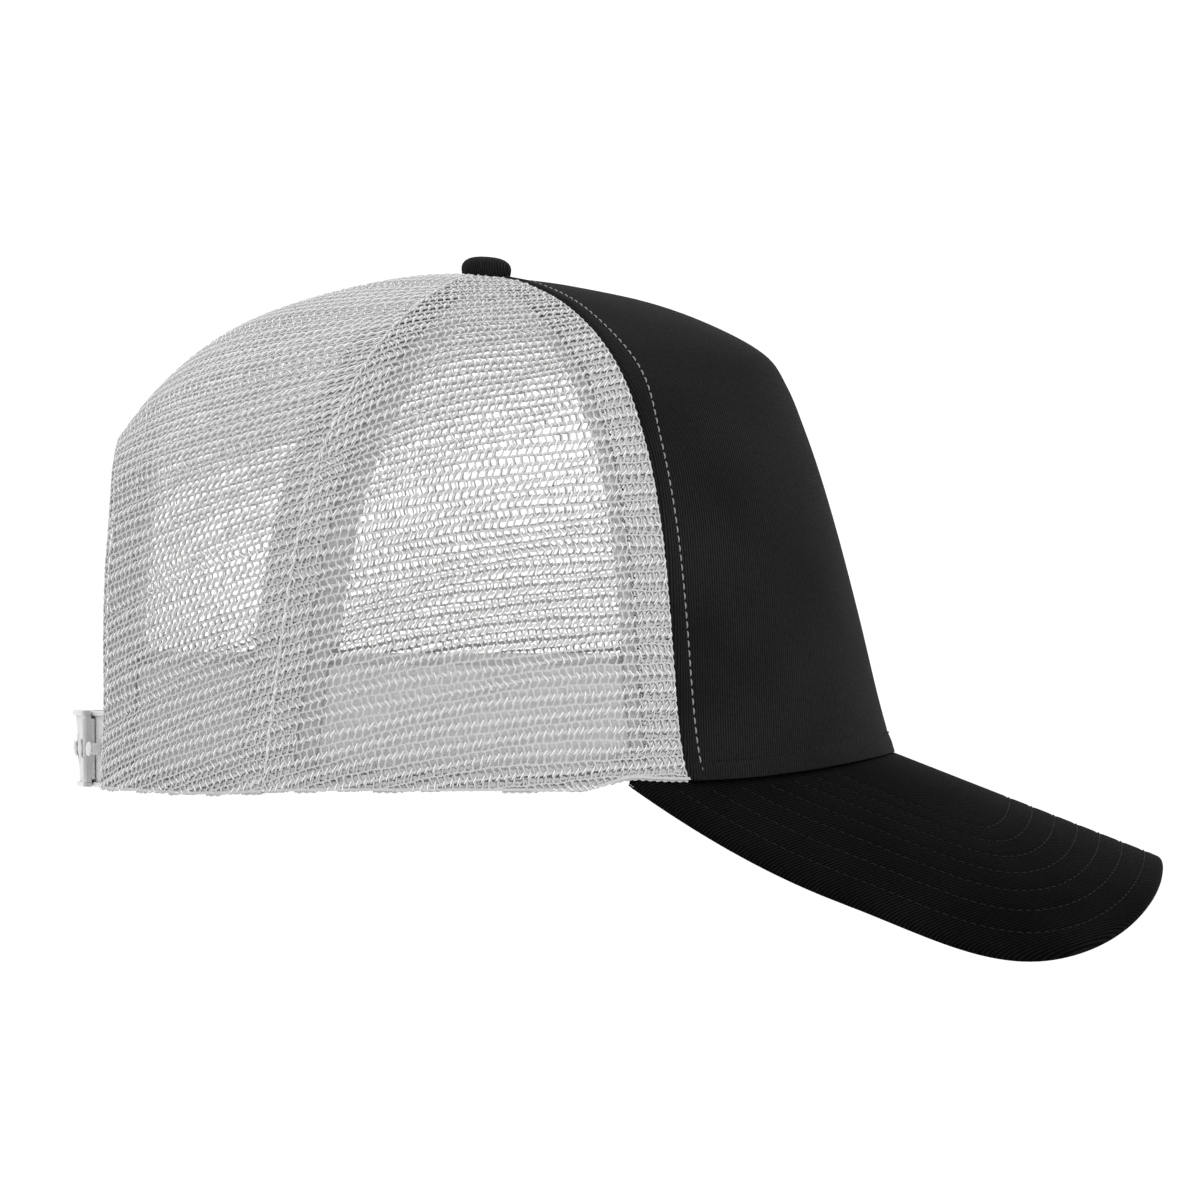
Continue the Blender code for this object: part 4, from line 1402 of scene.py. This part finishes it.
@dataclass(frozen=True)
class Sweatband:
    """The soft band inside the hem, with the pad behind it."""

    crown: CrownForm
    depth: tuple[float, float] = (4.95 * MM, 5.6 * MM)
    pad_depth: tuple[float, float] = (2.15 * MM, 4.6 * MM)
    front_pad_depth: float = 3.5 * MM
    front_fade: tuple[float, float] = (0.02, 0.08)
    tab_room: float = 3.55 * MM
    tab_clearance: tuple[float, float] = (40.0 * MM, 41.6 * MM)
    top: float = 34.0 * MM
    pad_top: float = 31.0 * MM
    pad_lift: tuple[float, float] = (0.95 * MM, 1.8 * MM)
    end_gap: float = 1.5 * MM
    visor_lift: float = 0.85 * MM
    columns: int = 400

    def near_tabs(self, angle: Array) -> Array:
        """Gives 1 where a strap's tab lies behind the net, and 0 further round."""
        near, far = self.crown.back_angle(np.zeros(2), np.array(self.tab_clearance))
        return smooth_step(far, near, np.abs(angle))

    def profile(self, angle: Array) -> tuple[Array, Array]:
        """Gives the band's section: folded in under the hem, straight up, and rolled at the top.

        Args:
            angle: angles from the front, in radians.

        Returns:
            The section's depths and lifts.
        """
        outer, inner = self.depth
        hem = self.crown.hem_height(angle)
        low = [(1.1, 0.05), (2.4, -0.05), (4.0, 0.2), (4.8, 0.9), (4.95, 2.0)]
        foot = [(5.6, 1.6), (5.2, 0.1), (4.2, -0.6), (2.6, -0.8), (1.1, -0.65)]
        rise = np.linspace(0.12, 0.93, 8)
        depths = [d * MM for d, _ in low] + [outer - 0.12 * MM * math.sin(9 * r) for r in rise]
        depths += [outer - 0.1 * MM, outer + 0.32 * MM, inner + 0.1 * MM]
        depths += [inner + 0.12 * MM * math.sin(9 * r) for r in rise[::-1]] + [d * MM for d, _ in foot]
        hem = hem + self.visor_lift
        lifts = [hem + z * MM for _, z in low] + [hem + (self.top - hem) * r for r in rise]
        roll = np.full(hem.shape, self.top)
        lifts += [roll - 0.9 * MM, roll, roll - 0.9 * MM]
        lifts += [hem + (self.top - hem) * r for r in rise[::-1]] + [hem + z * MM for _, z in foot]
        depths = np.maximum(np.array(depths)[None, :], self.tab_room * self.near_tabs(angle)[:, None])
        return depths, np.stack(lifts, axis=-1)

    def build(self, finishes: Finishes) -> None:
        """Builds the band, its stitching and the pad.

        Args:
            finishes: the materials.
        """
        crown = self.crown
        end = crown.back_angle(np.zeros(1), np.array([crown.arch_half_width + self.end_gap]))[0]
        angle = np.linspace(-end, end, self.columns)
        depths, heights = self.profile(angle)
        station = crown.station_of_height(heights)
        turn = np.repeat(angle[:, None], depths.shape[1], axis=1)
        rings = crown.layer(station, turn, depths)
        around = lengths_along(crown.point(np.zeros(self.columns), angle))
        uv = np.stack(np.broadcast_arrays(around[:, None], heights), axis=-1) / MM
        band = swept("sweatband_cloth", rings, uv)
        dress(band, finishes.band, "grey_band", "sweatband")

        strands = Strands()
        for height in (self.top - 3.0 * MM, 5.5 * MM):
            level = np.maximum(height, crown.hem_height(angle) + 4.5 * MM)
            station = crown.station_of_height(level)
            line = crown.layer(station, angle, self.depth[1] + 0.06 * MM)
            Stitching(thickness=0.36 * MM).sew(strands, line, -crown.normal(station, angle))
        dress(strands.build("sweatband_stitching"), finishes.pale_thread, "grey_band")

        rows = np.linspace(0, 1, 12)[:, None]
        lows = [crown.hem_height(angle)[None, :] + lift for lift in self.pad_lift]
        station, inner_station = (crown.station_of_height(low + (self.pad_top - low) * rows) for low in lows)
        turn = np.repeat(angle[None, :], 12, axis=0)
        swell = 0.2 * MM * np.sin(np.pi * rows) * np.ones(station.shape)
        seam = crown.front_seam_angle
        front = 1 - smooth_step(seam + self.front_fade[0], seam + self.front_fade[1], np.abs(angle))
        set_back = (self.front_pad_depth - self.pad_depth[0]) * np.maximum(front, self.near_tabs(angle) * 1.2)
        faces = [
            crown.layer(station, turn, self.pad_depth[0] + set_back[None, :] + 0.2 * MM - swell),
            crown.layer(inner_station, turn, self.pad_depth[1]),
        ]
        uv = np.stack(np.broadcast_arrays(around[None, :], rows * self.pad_top), axis=-1) / MM
        pad = dress(shell("sweatband_pad", *faces, uv), finishes.foam, "foam_padding", "sweatband_padding")


# Visor


@dataclass(frozen=True)
class Visor:
    """The arched visor: cloth over and under a stiff board, with rows of stitching."""

    crown: CrownForm
    middle_x: float = 86.0 * MM
    front_reach: float = 83.5 * MM
    rear_reach: float = 118.0 * MM
    half_width: float = 90.0 * MM
    narrowing: float = 2.6 * MM
    narrowing_span: tuple[float, float] = (92.0 * MM, 142.0 * MM)
    roundness: float = 3.1
    fan_x: float = 40.0 * MM
    fan_angle: float = math.radians(92.8)
    thickness: float = 3.6 * MM
    cloth: float = 0.62 * MM
    roll: float = 1.75 * MM
    rows: int = 120
    columns: int = 221
    stitch_rows: int = 7
    first_stitch: float = 5.2 * MM
    stitch_gap: float = 5.6 * MM

    def outline(self, x: Array, y: Array) -> Array:
        """Gives a value below 1 inside the visor's outer edge, and above 1 outside it.

        Args:
            x: places to the front, from the middle of the head opening.
            y: places to the wearer's left.

        Returns:
            One value for each place.
        """
        width = self.half_width - self.narrowing * (1 - smooth_step(*self.narrowing_span, x))
        ahead = (np.maximum(x - self.middle_x, 0) / self.front_reach) ** self.roundness
        front = ahead + (np.abs(y) / width) ** self.roundness
        rear = ((self.middle_x - x) / self.rear_reach) ** 2 + (y / width) ** 2
        return np.where(x >= self.middle_x, front, rear)

    def seam_oval(self, x: Array, y: Array) -> Array:
        """Gives a value below 1 inside the oval where the visor meets the crown."""
        length, width = self.crown.visor_seam
        return (x / length) ** 2 + (y / width) ** 2

    def fan_reach(self, outline: Callable[[Array, Array], Array], turn: Array) -> Array:
        """Gives how far from the fan's middle each line at an angle crosses an outline.

        Args:
            outline: gives a value below 1 inside it and above 1 outside it.
            turn: angles about the fan's middle, in radians.

        Returns:
            One length for each angle.
        """
        low, high = np.zeros(turn.shape), np.full(turn.shape, 200 * MM)
        for _ in range(40):
            middle = (low + high) / 2
            inside = outline(self.fan_x + middle * np.cos(turn), middle * np.sin(turn)) < 1
            low, high = np.where(inside, middle, low), np.where(inside, high, middle)
        return low

    def layer(self, x: Array, y: Array, depth: Array) -> Array:
        """Gives points at a depth under the visor's top surface.

        Args:
            x: places to the front, from the middle of the head opening.
            y: places to the wearer's left.
            depth: depths under the top surface.

        Returns:
            The points.
        """
        radius = self.crown.visor_arc_radius
        slope = y / np.sqrt(radius**2 - y * y)
        normal = unit(np.stack([np.full(x.shape, self.crown.visor_slope), slope, np.ones(x.shape)], axis=-1))
        surface = np.stack([x, y, self.crown.visor_height(x, y)], axis=-1)
        return surface - normal * np.asarray(depth)[..., None]

    def edge_distance(self, x: Array, y: Array) -> Array:
        """Gives the distance from the visor's outer edge, in plan.

        Args:
            x: places to the front, from the middle of the head opening.
            y: places to the wearer's left.

        Returns:
            One length for each place.
        """
        turns = np.linspace(-self.fan_angle, self.fan_angle, 700)
        reach = self.fan_reach(self.outline, turns)
        edge = np.stack([self.fan_x + reach * np.cos(turns), reach * np.sin(turns)], axis=-1)
        flat = np.stack([x.ravel(), y.ravel()], axis=-1)
        start, run = edge[:-1], np.diff(edge, axis=0)
        nearest = []
        for part in np.array_split(flat, 60):
            offset = part[:, None] - start[None]
            share = np.clip((offset * run).sum(axis=2) / (run * run).sum(axis=1), 0, 1)
            nearest.append(np.linalg.norm(offset - share[..., None] * run, axis=2).min(axis=1))
        return np.concatenate(nearest).reshape(x.shape)

    def build(self, finishes: Finishes) -> None:
        """Builds both covers and their stitching, and gives the board its material.

        Args:
            finishes: the materials.
        """
        turns = np.linspace(-self.fan_angle, self.fan_angle, self.columns)
        inner, outer = self.fan_reach(self.seam_oval, turns), self.fan_reach(self.outline, turns)
        share = 1 - (1 - np.linspace(0, 1, self.rows)) ** 1.25
        reach = inner[None, :] + (outer - inner)[None, :] * share[:, None]
        x, y = self.fan_x + reach * np.cos(turns), reach * np.sin(turns)
        edge = self.edge_distance(x, y)
        relief = np.zeros(edge.shape)
        for row in range(self.stitch_rows):
            relief -= 0.2 * MM * bump_at(edge - self.first_stitch - row * self.stitch_gap, 0.7 * MM)
        relief += 0.1 * MM * smooth_step(0.0, 4 * MM, edge)
        rolled = np.clip(1 - edge / self.roll, 0, 1)
        drop = self.roll * (1 - np.sqrt(1 - rolled**2))
        lining = np.maximum(self.cloth, drop + 0.03 * MM)
        lining = np.minimum(lining, self.thickness / 2 - 0.03 * MM)
        # Down the slope the cloth is 7% longer than its plan.
        arc = self.crown.visor_arc_radius
        cloth = np.stack([x * 1.07, arc * np.arcsin(y / arc)], axis=-1)
        for name, node, sign, start in (
            ("visor_top_twill", "visor_top_cover", 1.0, 0.0),
            ("visor_bottom_twill", "visor_bottom_cover", -1.0, self.thickness),
        ):
            faces = [self.layer(x, y, start + sign * depth) for depth in (drop - relief, lining)]
            dress(shell(name, *faces, cloth / MM), finishes.shaded_visor_twill, "black_twill", node)
        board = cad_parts["visor_board"]
        board.data.materials.clear()
        board.data.materials.append(finishes.board)
        self.sew(finishes)

    def sew(self, finishes: Finishes) -> None:
        """Sews the rows that follow the visor's outer edge, above and below.

        Args:
            finishes: the materials.
        """
        turns = np.linspace(-self.fan_angle, self.fan_angle, 900)
        reach = self.fan_reach(self.outline, turns)
        edge = np.stack([self.fan_x + reach * np.cos(turns), reach * np.sin(turns)], axis=-1)
        along = unit(np.gradient(edge, axis=0))
        inwards = np.stack([-along[:, 1], along[:, 0]], axis=-1)
        strands = Strands()
        for row in range(self.stitch_rows):
            inset = self.first_stitch + row * self.stitch_gap
            flat = edge + inwards * inset
            x, y = flat[:, 0], flat[:, 1]
            clear = self.seam_oval(x - 1.5 * MM, y * 0.985) > 1
            clear &= self.edge_distance(x, y) > inset - 0.4 * MM
            x, y = x[clear], y[clear]
            normal = unit(self.layer(x, y, np.zeros(x.shape)) - self.layer(x, y, np.full(x.shape, MM)))
            for depth, sign in ((0.12 * MM, 1.0), (self.thickness - 0.12 * MM, -1.0)):
                line = self.layer(x, y, np.full(x.shape, depth))
                Stitching(length=1.9 * MM, thickness=0.4 * MM).sew(strands, line, normal * sign)
        dress(strands.build("visor_stitching"), finishes.black_thread, "black_twill")


# Button


@dataclass(frozen=True)
class TopButton:
    """The covered button on the crown, and the metal that clinches it."""

    lean: float = math.radians(4.0)
    seat: float = 128.2 * MM
    sides: int = 96
    profile: tuple[tuple[float, float], ...] = (
        (0.05, 4.4), (1.7, 4.34), (3.2, 4.14), (4.45, 3.75), (5.4, 3.15), (6.0, 2.4), (6.28, 1.5), (6.3, 0.7),
        (6.2, 0.0), (6.0, -0.55), (5.6, -0.5), (5.6, 1.1), (5.3, 1.95), (4.5, 2.9), (2.8, 3.5), (0.05, 3.75),
    )

    def turned(self, profile: Array, pleats: float) -> Array:
        """Turns a profile about the button's axis, with small pleats near its rim.

        Args:
            profile: (radius, height) in millimetres, one row for each ring.
            pleats: how deep the pleats are at the rim, in millimetres.

        Returns:
            Rings of points.
        """
        axis = np.array([math.sin(self.lean), 0, math.cos(self.lean)])
        ahead = np.array([axis[2], 0, -axis[0]])
        turn = np.linspace(0, 2 * np.pi, self.sides, endpoint=False)
        around = ahead * np.cos(turn)[:, None] + np.array([0, 1, 0]) * np.sin(turn)[:, None]
        radius, height = profile[:, 0], profile[:, 1]
        rim = bump_at(height + 0.2, 1.1) * (radius > 5.9)
        wave = 0.5 + 0.5 * np.cos(turn * 16 + 0.7 * np.sin(turn * 3))
        fold = 1 - pleats * rim[:, None] * wave[None, :] / 6
        seat = np.array([0, 0, self.seat])
        return seat + (axis * height[:, None, None] + around[None] * (radius[:, None] * fold)[..., None]) * MM

    def build(self, finishes: Finishes) -> None:
        """Builds the cloth cover and gives the metal its material.

        Args:
            finishes: the materials.
        """
        profile = np.array(self.profile)
        rings = self.turned(profile, 0.25)
        turn = np.linspace(0, 2 * np.pi, self.sides, endpoint=False)
        radius, height = profile[:, :1], profile[:, 1:]
        uv = np.stack([radius * np.cos(turn) * 1.25, radius * np.sin(turn) * 1.25 - height], axis=-1)
        dress(swept("button_twill", rings, uv), finishes.twill, "black_twill", "button_cover")
        for node in ("button_shell", "button_rivet", "button_base"):
            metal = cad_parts[node]
            metal.data.materials.clear()
            metal.data.materials.append(finishes.steel)


# Snap strap


@dataclass(frozen=True)
class StrapHalf:
    """One half of the snap strap with the tab that is sewn inside the crown, as one moulding."""

    crown: CrownForm
    side: Side
    name: str
    node: str
    body: str
    cells: tuple[float, ...]
    web_depth: tuple[float, float]
    has_pegs: bool
    ramp: tuple[float, float] | None = None
    half_height: float = 9.5 * MM
    middle_z: float = 9.7 * MM
    arc_radius: float = 72.5 * MM
    lean: float = 0.096
    lean_span: tuple[float, float] = (12.0 * MM, 26.0 * MM)
    tab_depth: tuple[float, float] = (2.3 * MM, 3.4 * MM)
    tab_end: float = 39.5 * MM
    hinge: float = 28.6 * MM
    pitch: float = 8.6 * MM
    rim_width: float = 1.3 * MM
    rim_height: float = 0.8 * MM
    hole_radius: float = 2.45 * MM
    peg_radius: float = 1.45 * MM
    head_radius: float = 1.85 * MM

    def depths(self, along: Array) -> tuple[Array, Array]:
        """Gives the web's outer and inner depth along the strap.

        Args:
            along: places along the strap.

        Returns:
            The outer and the inner depth.
        """
        outer, inner = self.web_depth
        if self.ramp is None:
            share = np.zeros(np.shape(along))
        else:
            share = smooth_step(*self.ramp, np.abs(along) * np.sign(along * self.side.value))
        return outer + (self.tab_depth[0] - outer) * share, inner + (self.tab_depth[1] - inner) * share

    def layer(self, along: Array, up: Array, depth: Array) -> Array:
        """Gives points of the strap: along it from the centre back, up from its middle, at a depth.

        Args:
            along: places along the strap.
            up: places above the strap's middle.
            depth: depths under the outer surface.

        Returns:
            The points.
        """
        across = self.arc_radius * np.sin(along / self.arc_radius)
        station = self.crown.station_of_height(self.middle_z + up)
        points = self.crown.layer(station, self.crown.back_angle(station, across) % (2 * np.pi), depth)
        share = 1 - smooth_step(*self.lean_span, np.abs(along))
        points[..., 0] -= self.lean * up * share
        return points

    def cell(self, middle: float) -> tuple[Array, list]:
        """Gives one cell of the web, which is square outside and round where its peg or hole is.

        Args:
            middle: where the cell's middle lies along the strap.

        Returns:
            The vertices and the faces.
        """
        half, high, per_side = self.pitch / 2, self.half_height - self.rim_width * 0.8, 10
        side = np.linspace(-1, 1, per_side, endpoint=False)
        square = np.concatenate([
            np.stack([np.full(per_side, 1.0), side], axis=-1),
            np.stack([-side, np.full(per_side, 1.0)], axis=-1),
            np.stack([np.full(per_side, -1.0), -side], axis=-1),
            np.stack([side, np.full(per_side, -1.0)], axis=-1),
        ]) * (half, high)
        turn = np.arctan2(square[:, 1] / high, square[:, 0] / half)
        radius = 0.4 * MM if self.has_pegs else self.hole_radius
        circle = np.stack([np.cos(turn), np.sin(turn)], axis=-1) * radius
        rings = []
        for share in (0.0, 0.12, 0.3, 0.6, 1.0):
            flat = circle + (square - circle) * share
            boss = 0.0 if self.has_pegs else 0.28 * MM * float(share < 0.2)
            along = middle + flat[:, 0]
            rings.append(self.layer(along, flat[:, 1], self.depths(along)[0] - boss))
        for share in (1.0, 0.5, 0.0):
            flat = circle + (square - circle) * share
            along = middle + flat[:, 0]
            rings.append(self.layer(along, flat[:, 1], self.depths(along)[1]))
        return ring_solid(np.array(rings), closed=True)

    def bar(
        self, along: Array, up: Array, width_along: float, width_up: float, lip: float = 0.0
    ) -> tuple[Array, list]:
        """Gives a rounded rim that stands on the web.

        Args:
            along: the rim's middle line, along the strap.
            up: its height from the strap's middle.
            width_along: its width along the strap, where it runs up.
            width_up: its width up, where it runs along.
            lip: how far it stands out on the web's inner side.

        Returns:
            Points and faces.
        """
        outer, inner = self.depths(along)
        turn = np.linspace(0, 2 * np.pi, 16, endpoint=False)
        round_x = np.sign(np.cos(turn)) * np.abs(np.cos(turn)) ** 0.45
        round_y = np.sign(np.sin(turn)) * np.abs(np.sin(turn)) ** 0.45
        top, low = outer - self.rim_height, inner + 0.04 * MM + lip
        depth = ((top + low) / 2)[:, None] + round_y[None, :] * ((low - top) / 2)[:, None]
        places = along[:, None] + width_along / 2 * round_x[None, :]
        heights = up[:, None] + width_up / 2 * round_x[None, :]
        return ring_solid(self.layer(places, heights, depth))

    def peg(self, middle: float) -> tuple[Array, list]:
        """Gives one peg: a short stem with a rounded head that a hole snaps over.

        Args:
            middle: where the peg's middle lies along the strap.

        Returns:
            The vertices and the faces.
        """
        web = self.web_depth[0]
        neck, tip = -0.35 * MM, -1.5 * MM
        stem = [(web + 0.4 * MM, 1.0), (web - 0.2 * MM, 1.12), ((web + neck) / 2, 1.0), (neck, 1.0)]
        rings = [(self.peg_radius * scale, depth) for depth, scale in stem]
        for turn in np.linspace(-0.5, 0.96, 8) * np.pi / 2:
            middle_depth, tall = (neck + tip) / 2 + 0.1 * MM, (neck - tip) / 2
            rings.append((self.head_radius * math.cos(turn), middle_depth - tall * math.sin(turn)))
        around = np.linspace(0, 2 * np.pi, 24, endpoint=False)
        points = [
            self.layer(middle + radius * np.cos(around), radius * np.sin(around), np.full(24, depth))
            for radius, depth in rings
        ]
        return ring_solid(np.array(points))

    def build(self, finishes: Finishes) -> None:
        """Joins the tab, the web, the rims and the pegs into one piece.

        Args:
            finishes: the materials.
        """
        sign = self.side.value
        free_end = self.cells[-1] - sign * self.pitch / 2
        root = self.cells[0] + sign * self.pitch / 2
        parts = [self.cell(middle) for middle in self.cells]
        tab = np.linspace(root, sign * self.tab_end, 24)
        high = self.half_height - self.rim_width * 0.8
        rings = []
        for along in tab:
            place = np.array([along])
            outer, inner = (float(depth[0]) for depth in self.depths(place))
            up = np.linspace(-high, high, 9)
            face = self.layer(np.full(9, along), up, np.full(9, outer))
            rings.append(np.concatenate([face, self.layer(np.full(9, along), up[::-1], np.full(9, inner))]))
        parts.append(ring_solid(np.array(rings)))
        rim_end = sign * 30.5 * MM
        run = np.linspace(free_end, rim_end, 60)
        for up in (-1, 1):
            height = np.full(run.shape, up * (self.half_height - self.rim_width / 2))
            parts.append(self.bar(run, height, 0.0, self.rim_width))
        cross = np.linspace(-self.half_height + 0.1 * MM, self.half_height - 0.1 * MM, 12)
        end = np.full(12, free_end + sign * 0.7 * MM)
        parts.append(self.bar(end, cross, 1.4 * MM, 0.0))
        if self.has_pegs:
            parts += [self.peg(middle) for middle in self.cells]
        else:
            parts.append(self.bar(end, cross * 0.8, 1.2 * MM, 0.0, lip=1.0 * MM))
        points, faces, count = [], [], 0
        for part, part_faces in parts:
            points.append(part)
            faces += [[index + count for index in face] for face in part_faces]
            count += len(part)
        piece = face_outwards(make_mesh(self.name, np.concatenate(points), faces))
        dress(
            piece, finishes.strap, "strap_plastic", self.node, f"strap_anchor_{self.side.label}", body=None
        )
        ends = [
            Vector(self.layer(np.array([sign * along]), np.zeros(1), np.array([2.85 * MM]))[0])
            for along in (self.hinge + 1.2 * MM, self.hinge - 1.6 * MM)
        ]
        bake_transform(piece)


@dataclass(frozen=True)
class SnapStrap:
    """Both halves of the snap strap."""

    crown: CrownForm
    first_peg: float = -23.8 * MM
    first_hole: float = -15.2 * MM
    pitch: float = 8.6 * MM
    count: int = 5

    def build(self, finishes: Finishes) -> None:
        """Builds the half with pegs, then the half with holes that lies over it.

        Args:
            finishes: the materials.
        """
        pegs = tuple(self.first_peg + self.pitch * index for index in range(self.count))
        holes = tuple(self.first_hole + self.pitch * index for index in range(self.count))[::-1]
        StrapHalf(
            self.crown, Side.RIGHT, "snap_strap_with_pegs", "snap_strap_pegs", "strap_with_pegs",
            pegs, (2.3 * MM, 3.4 * MM), True,
        ).build(finishes)
        StrapHalf(
            self.crown, Side.LEFT, "snap_strap_with_holes", "snap_strap_holes", "strap_with_holes",
            holes, (-0.1 * MM, 1.1 * MM), False, ramp=(19.5 * MM, 28.1 * MM),
        ).build(finishes)


# Studio


@dataclass(frozen=True)
class Studio:
    """A pale floor, soft light and a level camera that looks at the cap's right side."""

    look_at: tuple[float, float, float] = (28.5 * MM, 0.0, 46.75 * MM)
    view_width: float = 300.0 * MM
    distance: float = 5.0
    sensor: float = 36.0
    floor_z: float = -118.0 * MM
    floor_half: float = 30.0
    sky: float = 1.12
    # (name, place in metres, width in metres, power in watts)
    lamps: tuple[tuple[str, tuple[float, float, float], float, float], ...] = (
        ("key", (0.9, -1.6, 1.7), 1.3, 14.0),
        ("rim", (-1.3, 1.2, 1.6), 1.2, 8.0),
    )

    def place_camera(self) -> None:
        """Places the camera; its long lens keeps the view nearly parallel."""
        data = bpy.data.cameras.new("camera")
        data.sensor_width = self.sensor
        data.lens = self.sensor * self.distance / self.view_width
        data.clip_end = 100.0
        camera = bpy.data.objects.new("camera", data)
        x, y, z = self.look_at
        camera.location = (x, y - self.distance, z)
        camera.rotation_euler = (math.pi / 2, 0.0, 0.0)
        bpy.context.scene.collection.objects.link(camera)
        bpy.context.scene.camera = camera

    def build(self) -> None:
        """Builds the floor, the sky and the lamps."""
        half = self.floor_half
        corners = np.array([(-half, -half, 0), (half, -half, 0), (half, half, 0), (-half, half, 0)], float)
        floor = make_mesh("floor", corners + (0, 0, self.floor_z), [[0, 1, 2, 3]])
        material, _, shader = start_material("matt white card", Roughness=0.9)
        shader.inputs["Base Color"].default_value = linear("#FAFAFA")
        shader.inputs["Specular IOR Level"].default_value = 0.0
        floor.data.materials.append(material)
        world = bpy.data.worlds.new("white room")
        world.use_nodes = True
        background = world.node_tree.nodes["Background"]
        background.inputs["Color"].default_value = (1, 1, 1, 1)
        background.inputs["Strength"].default_value = self.sky
        bpy.context.scene.world = world
        for name, place, size, power in self.lamps:
            data = bpy.data.lights.new(name, "AREA")
            data.energy, data.size = power, size
            lamp = bpy.data.objects.new(name, data)
            lamp.location = place
            lamp.rotation_euler = (Vector(self.look_at) - Vector(place)).to_track_quat("-Z", "Y").to_euler()
            lamp.visible_camera = False
            bpy.context.scene.collection.objects.link(lamp)
        bpy.context.scene.view_settings.view_transform = "Standard"


def main() -> None:
    """Builds the cap and the studio."""
    logging.basicConfig(level=logging.INFO, format="%(name)s %(message)s")
    studio = Studio()
    studio.place_camera()
    finishes, crown = Finishes(), CrownForm()
    parts = (
        TwillFront(crown), KnitCrown(crown), Tapes(crown), Sweatband(crown), Visor(crown), TopButton(),
        SnapStrap(crown),
    )
    for part in parts:
        part.build(finishes)
    studio.build()


if __name__ == "__main__":
    main()
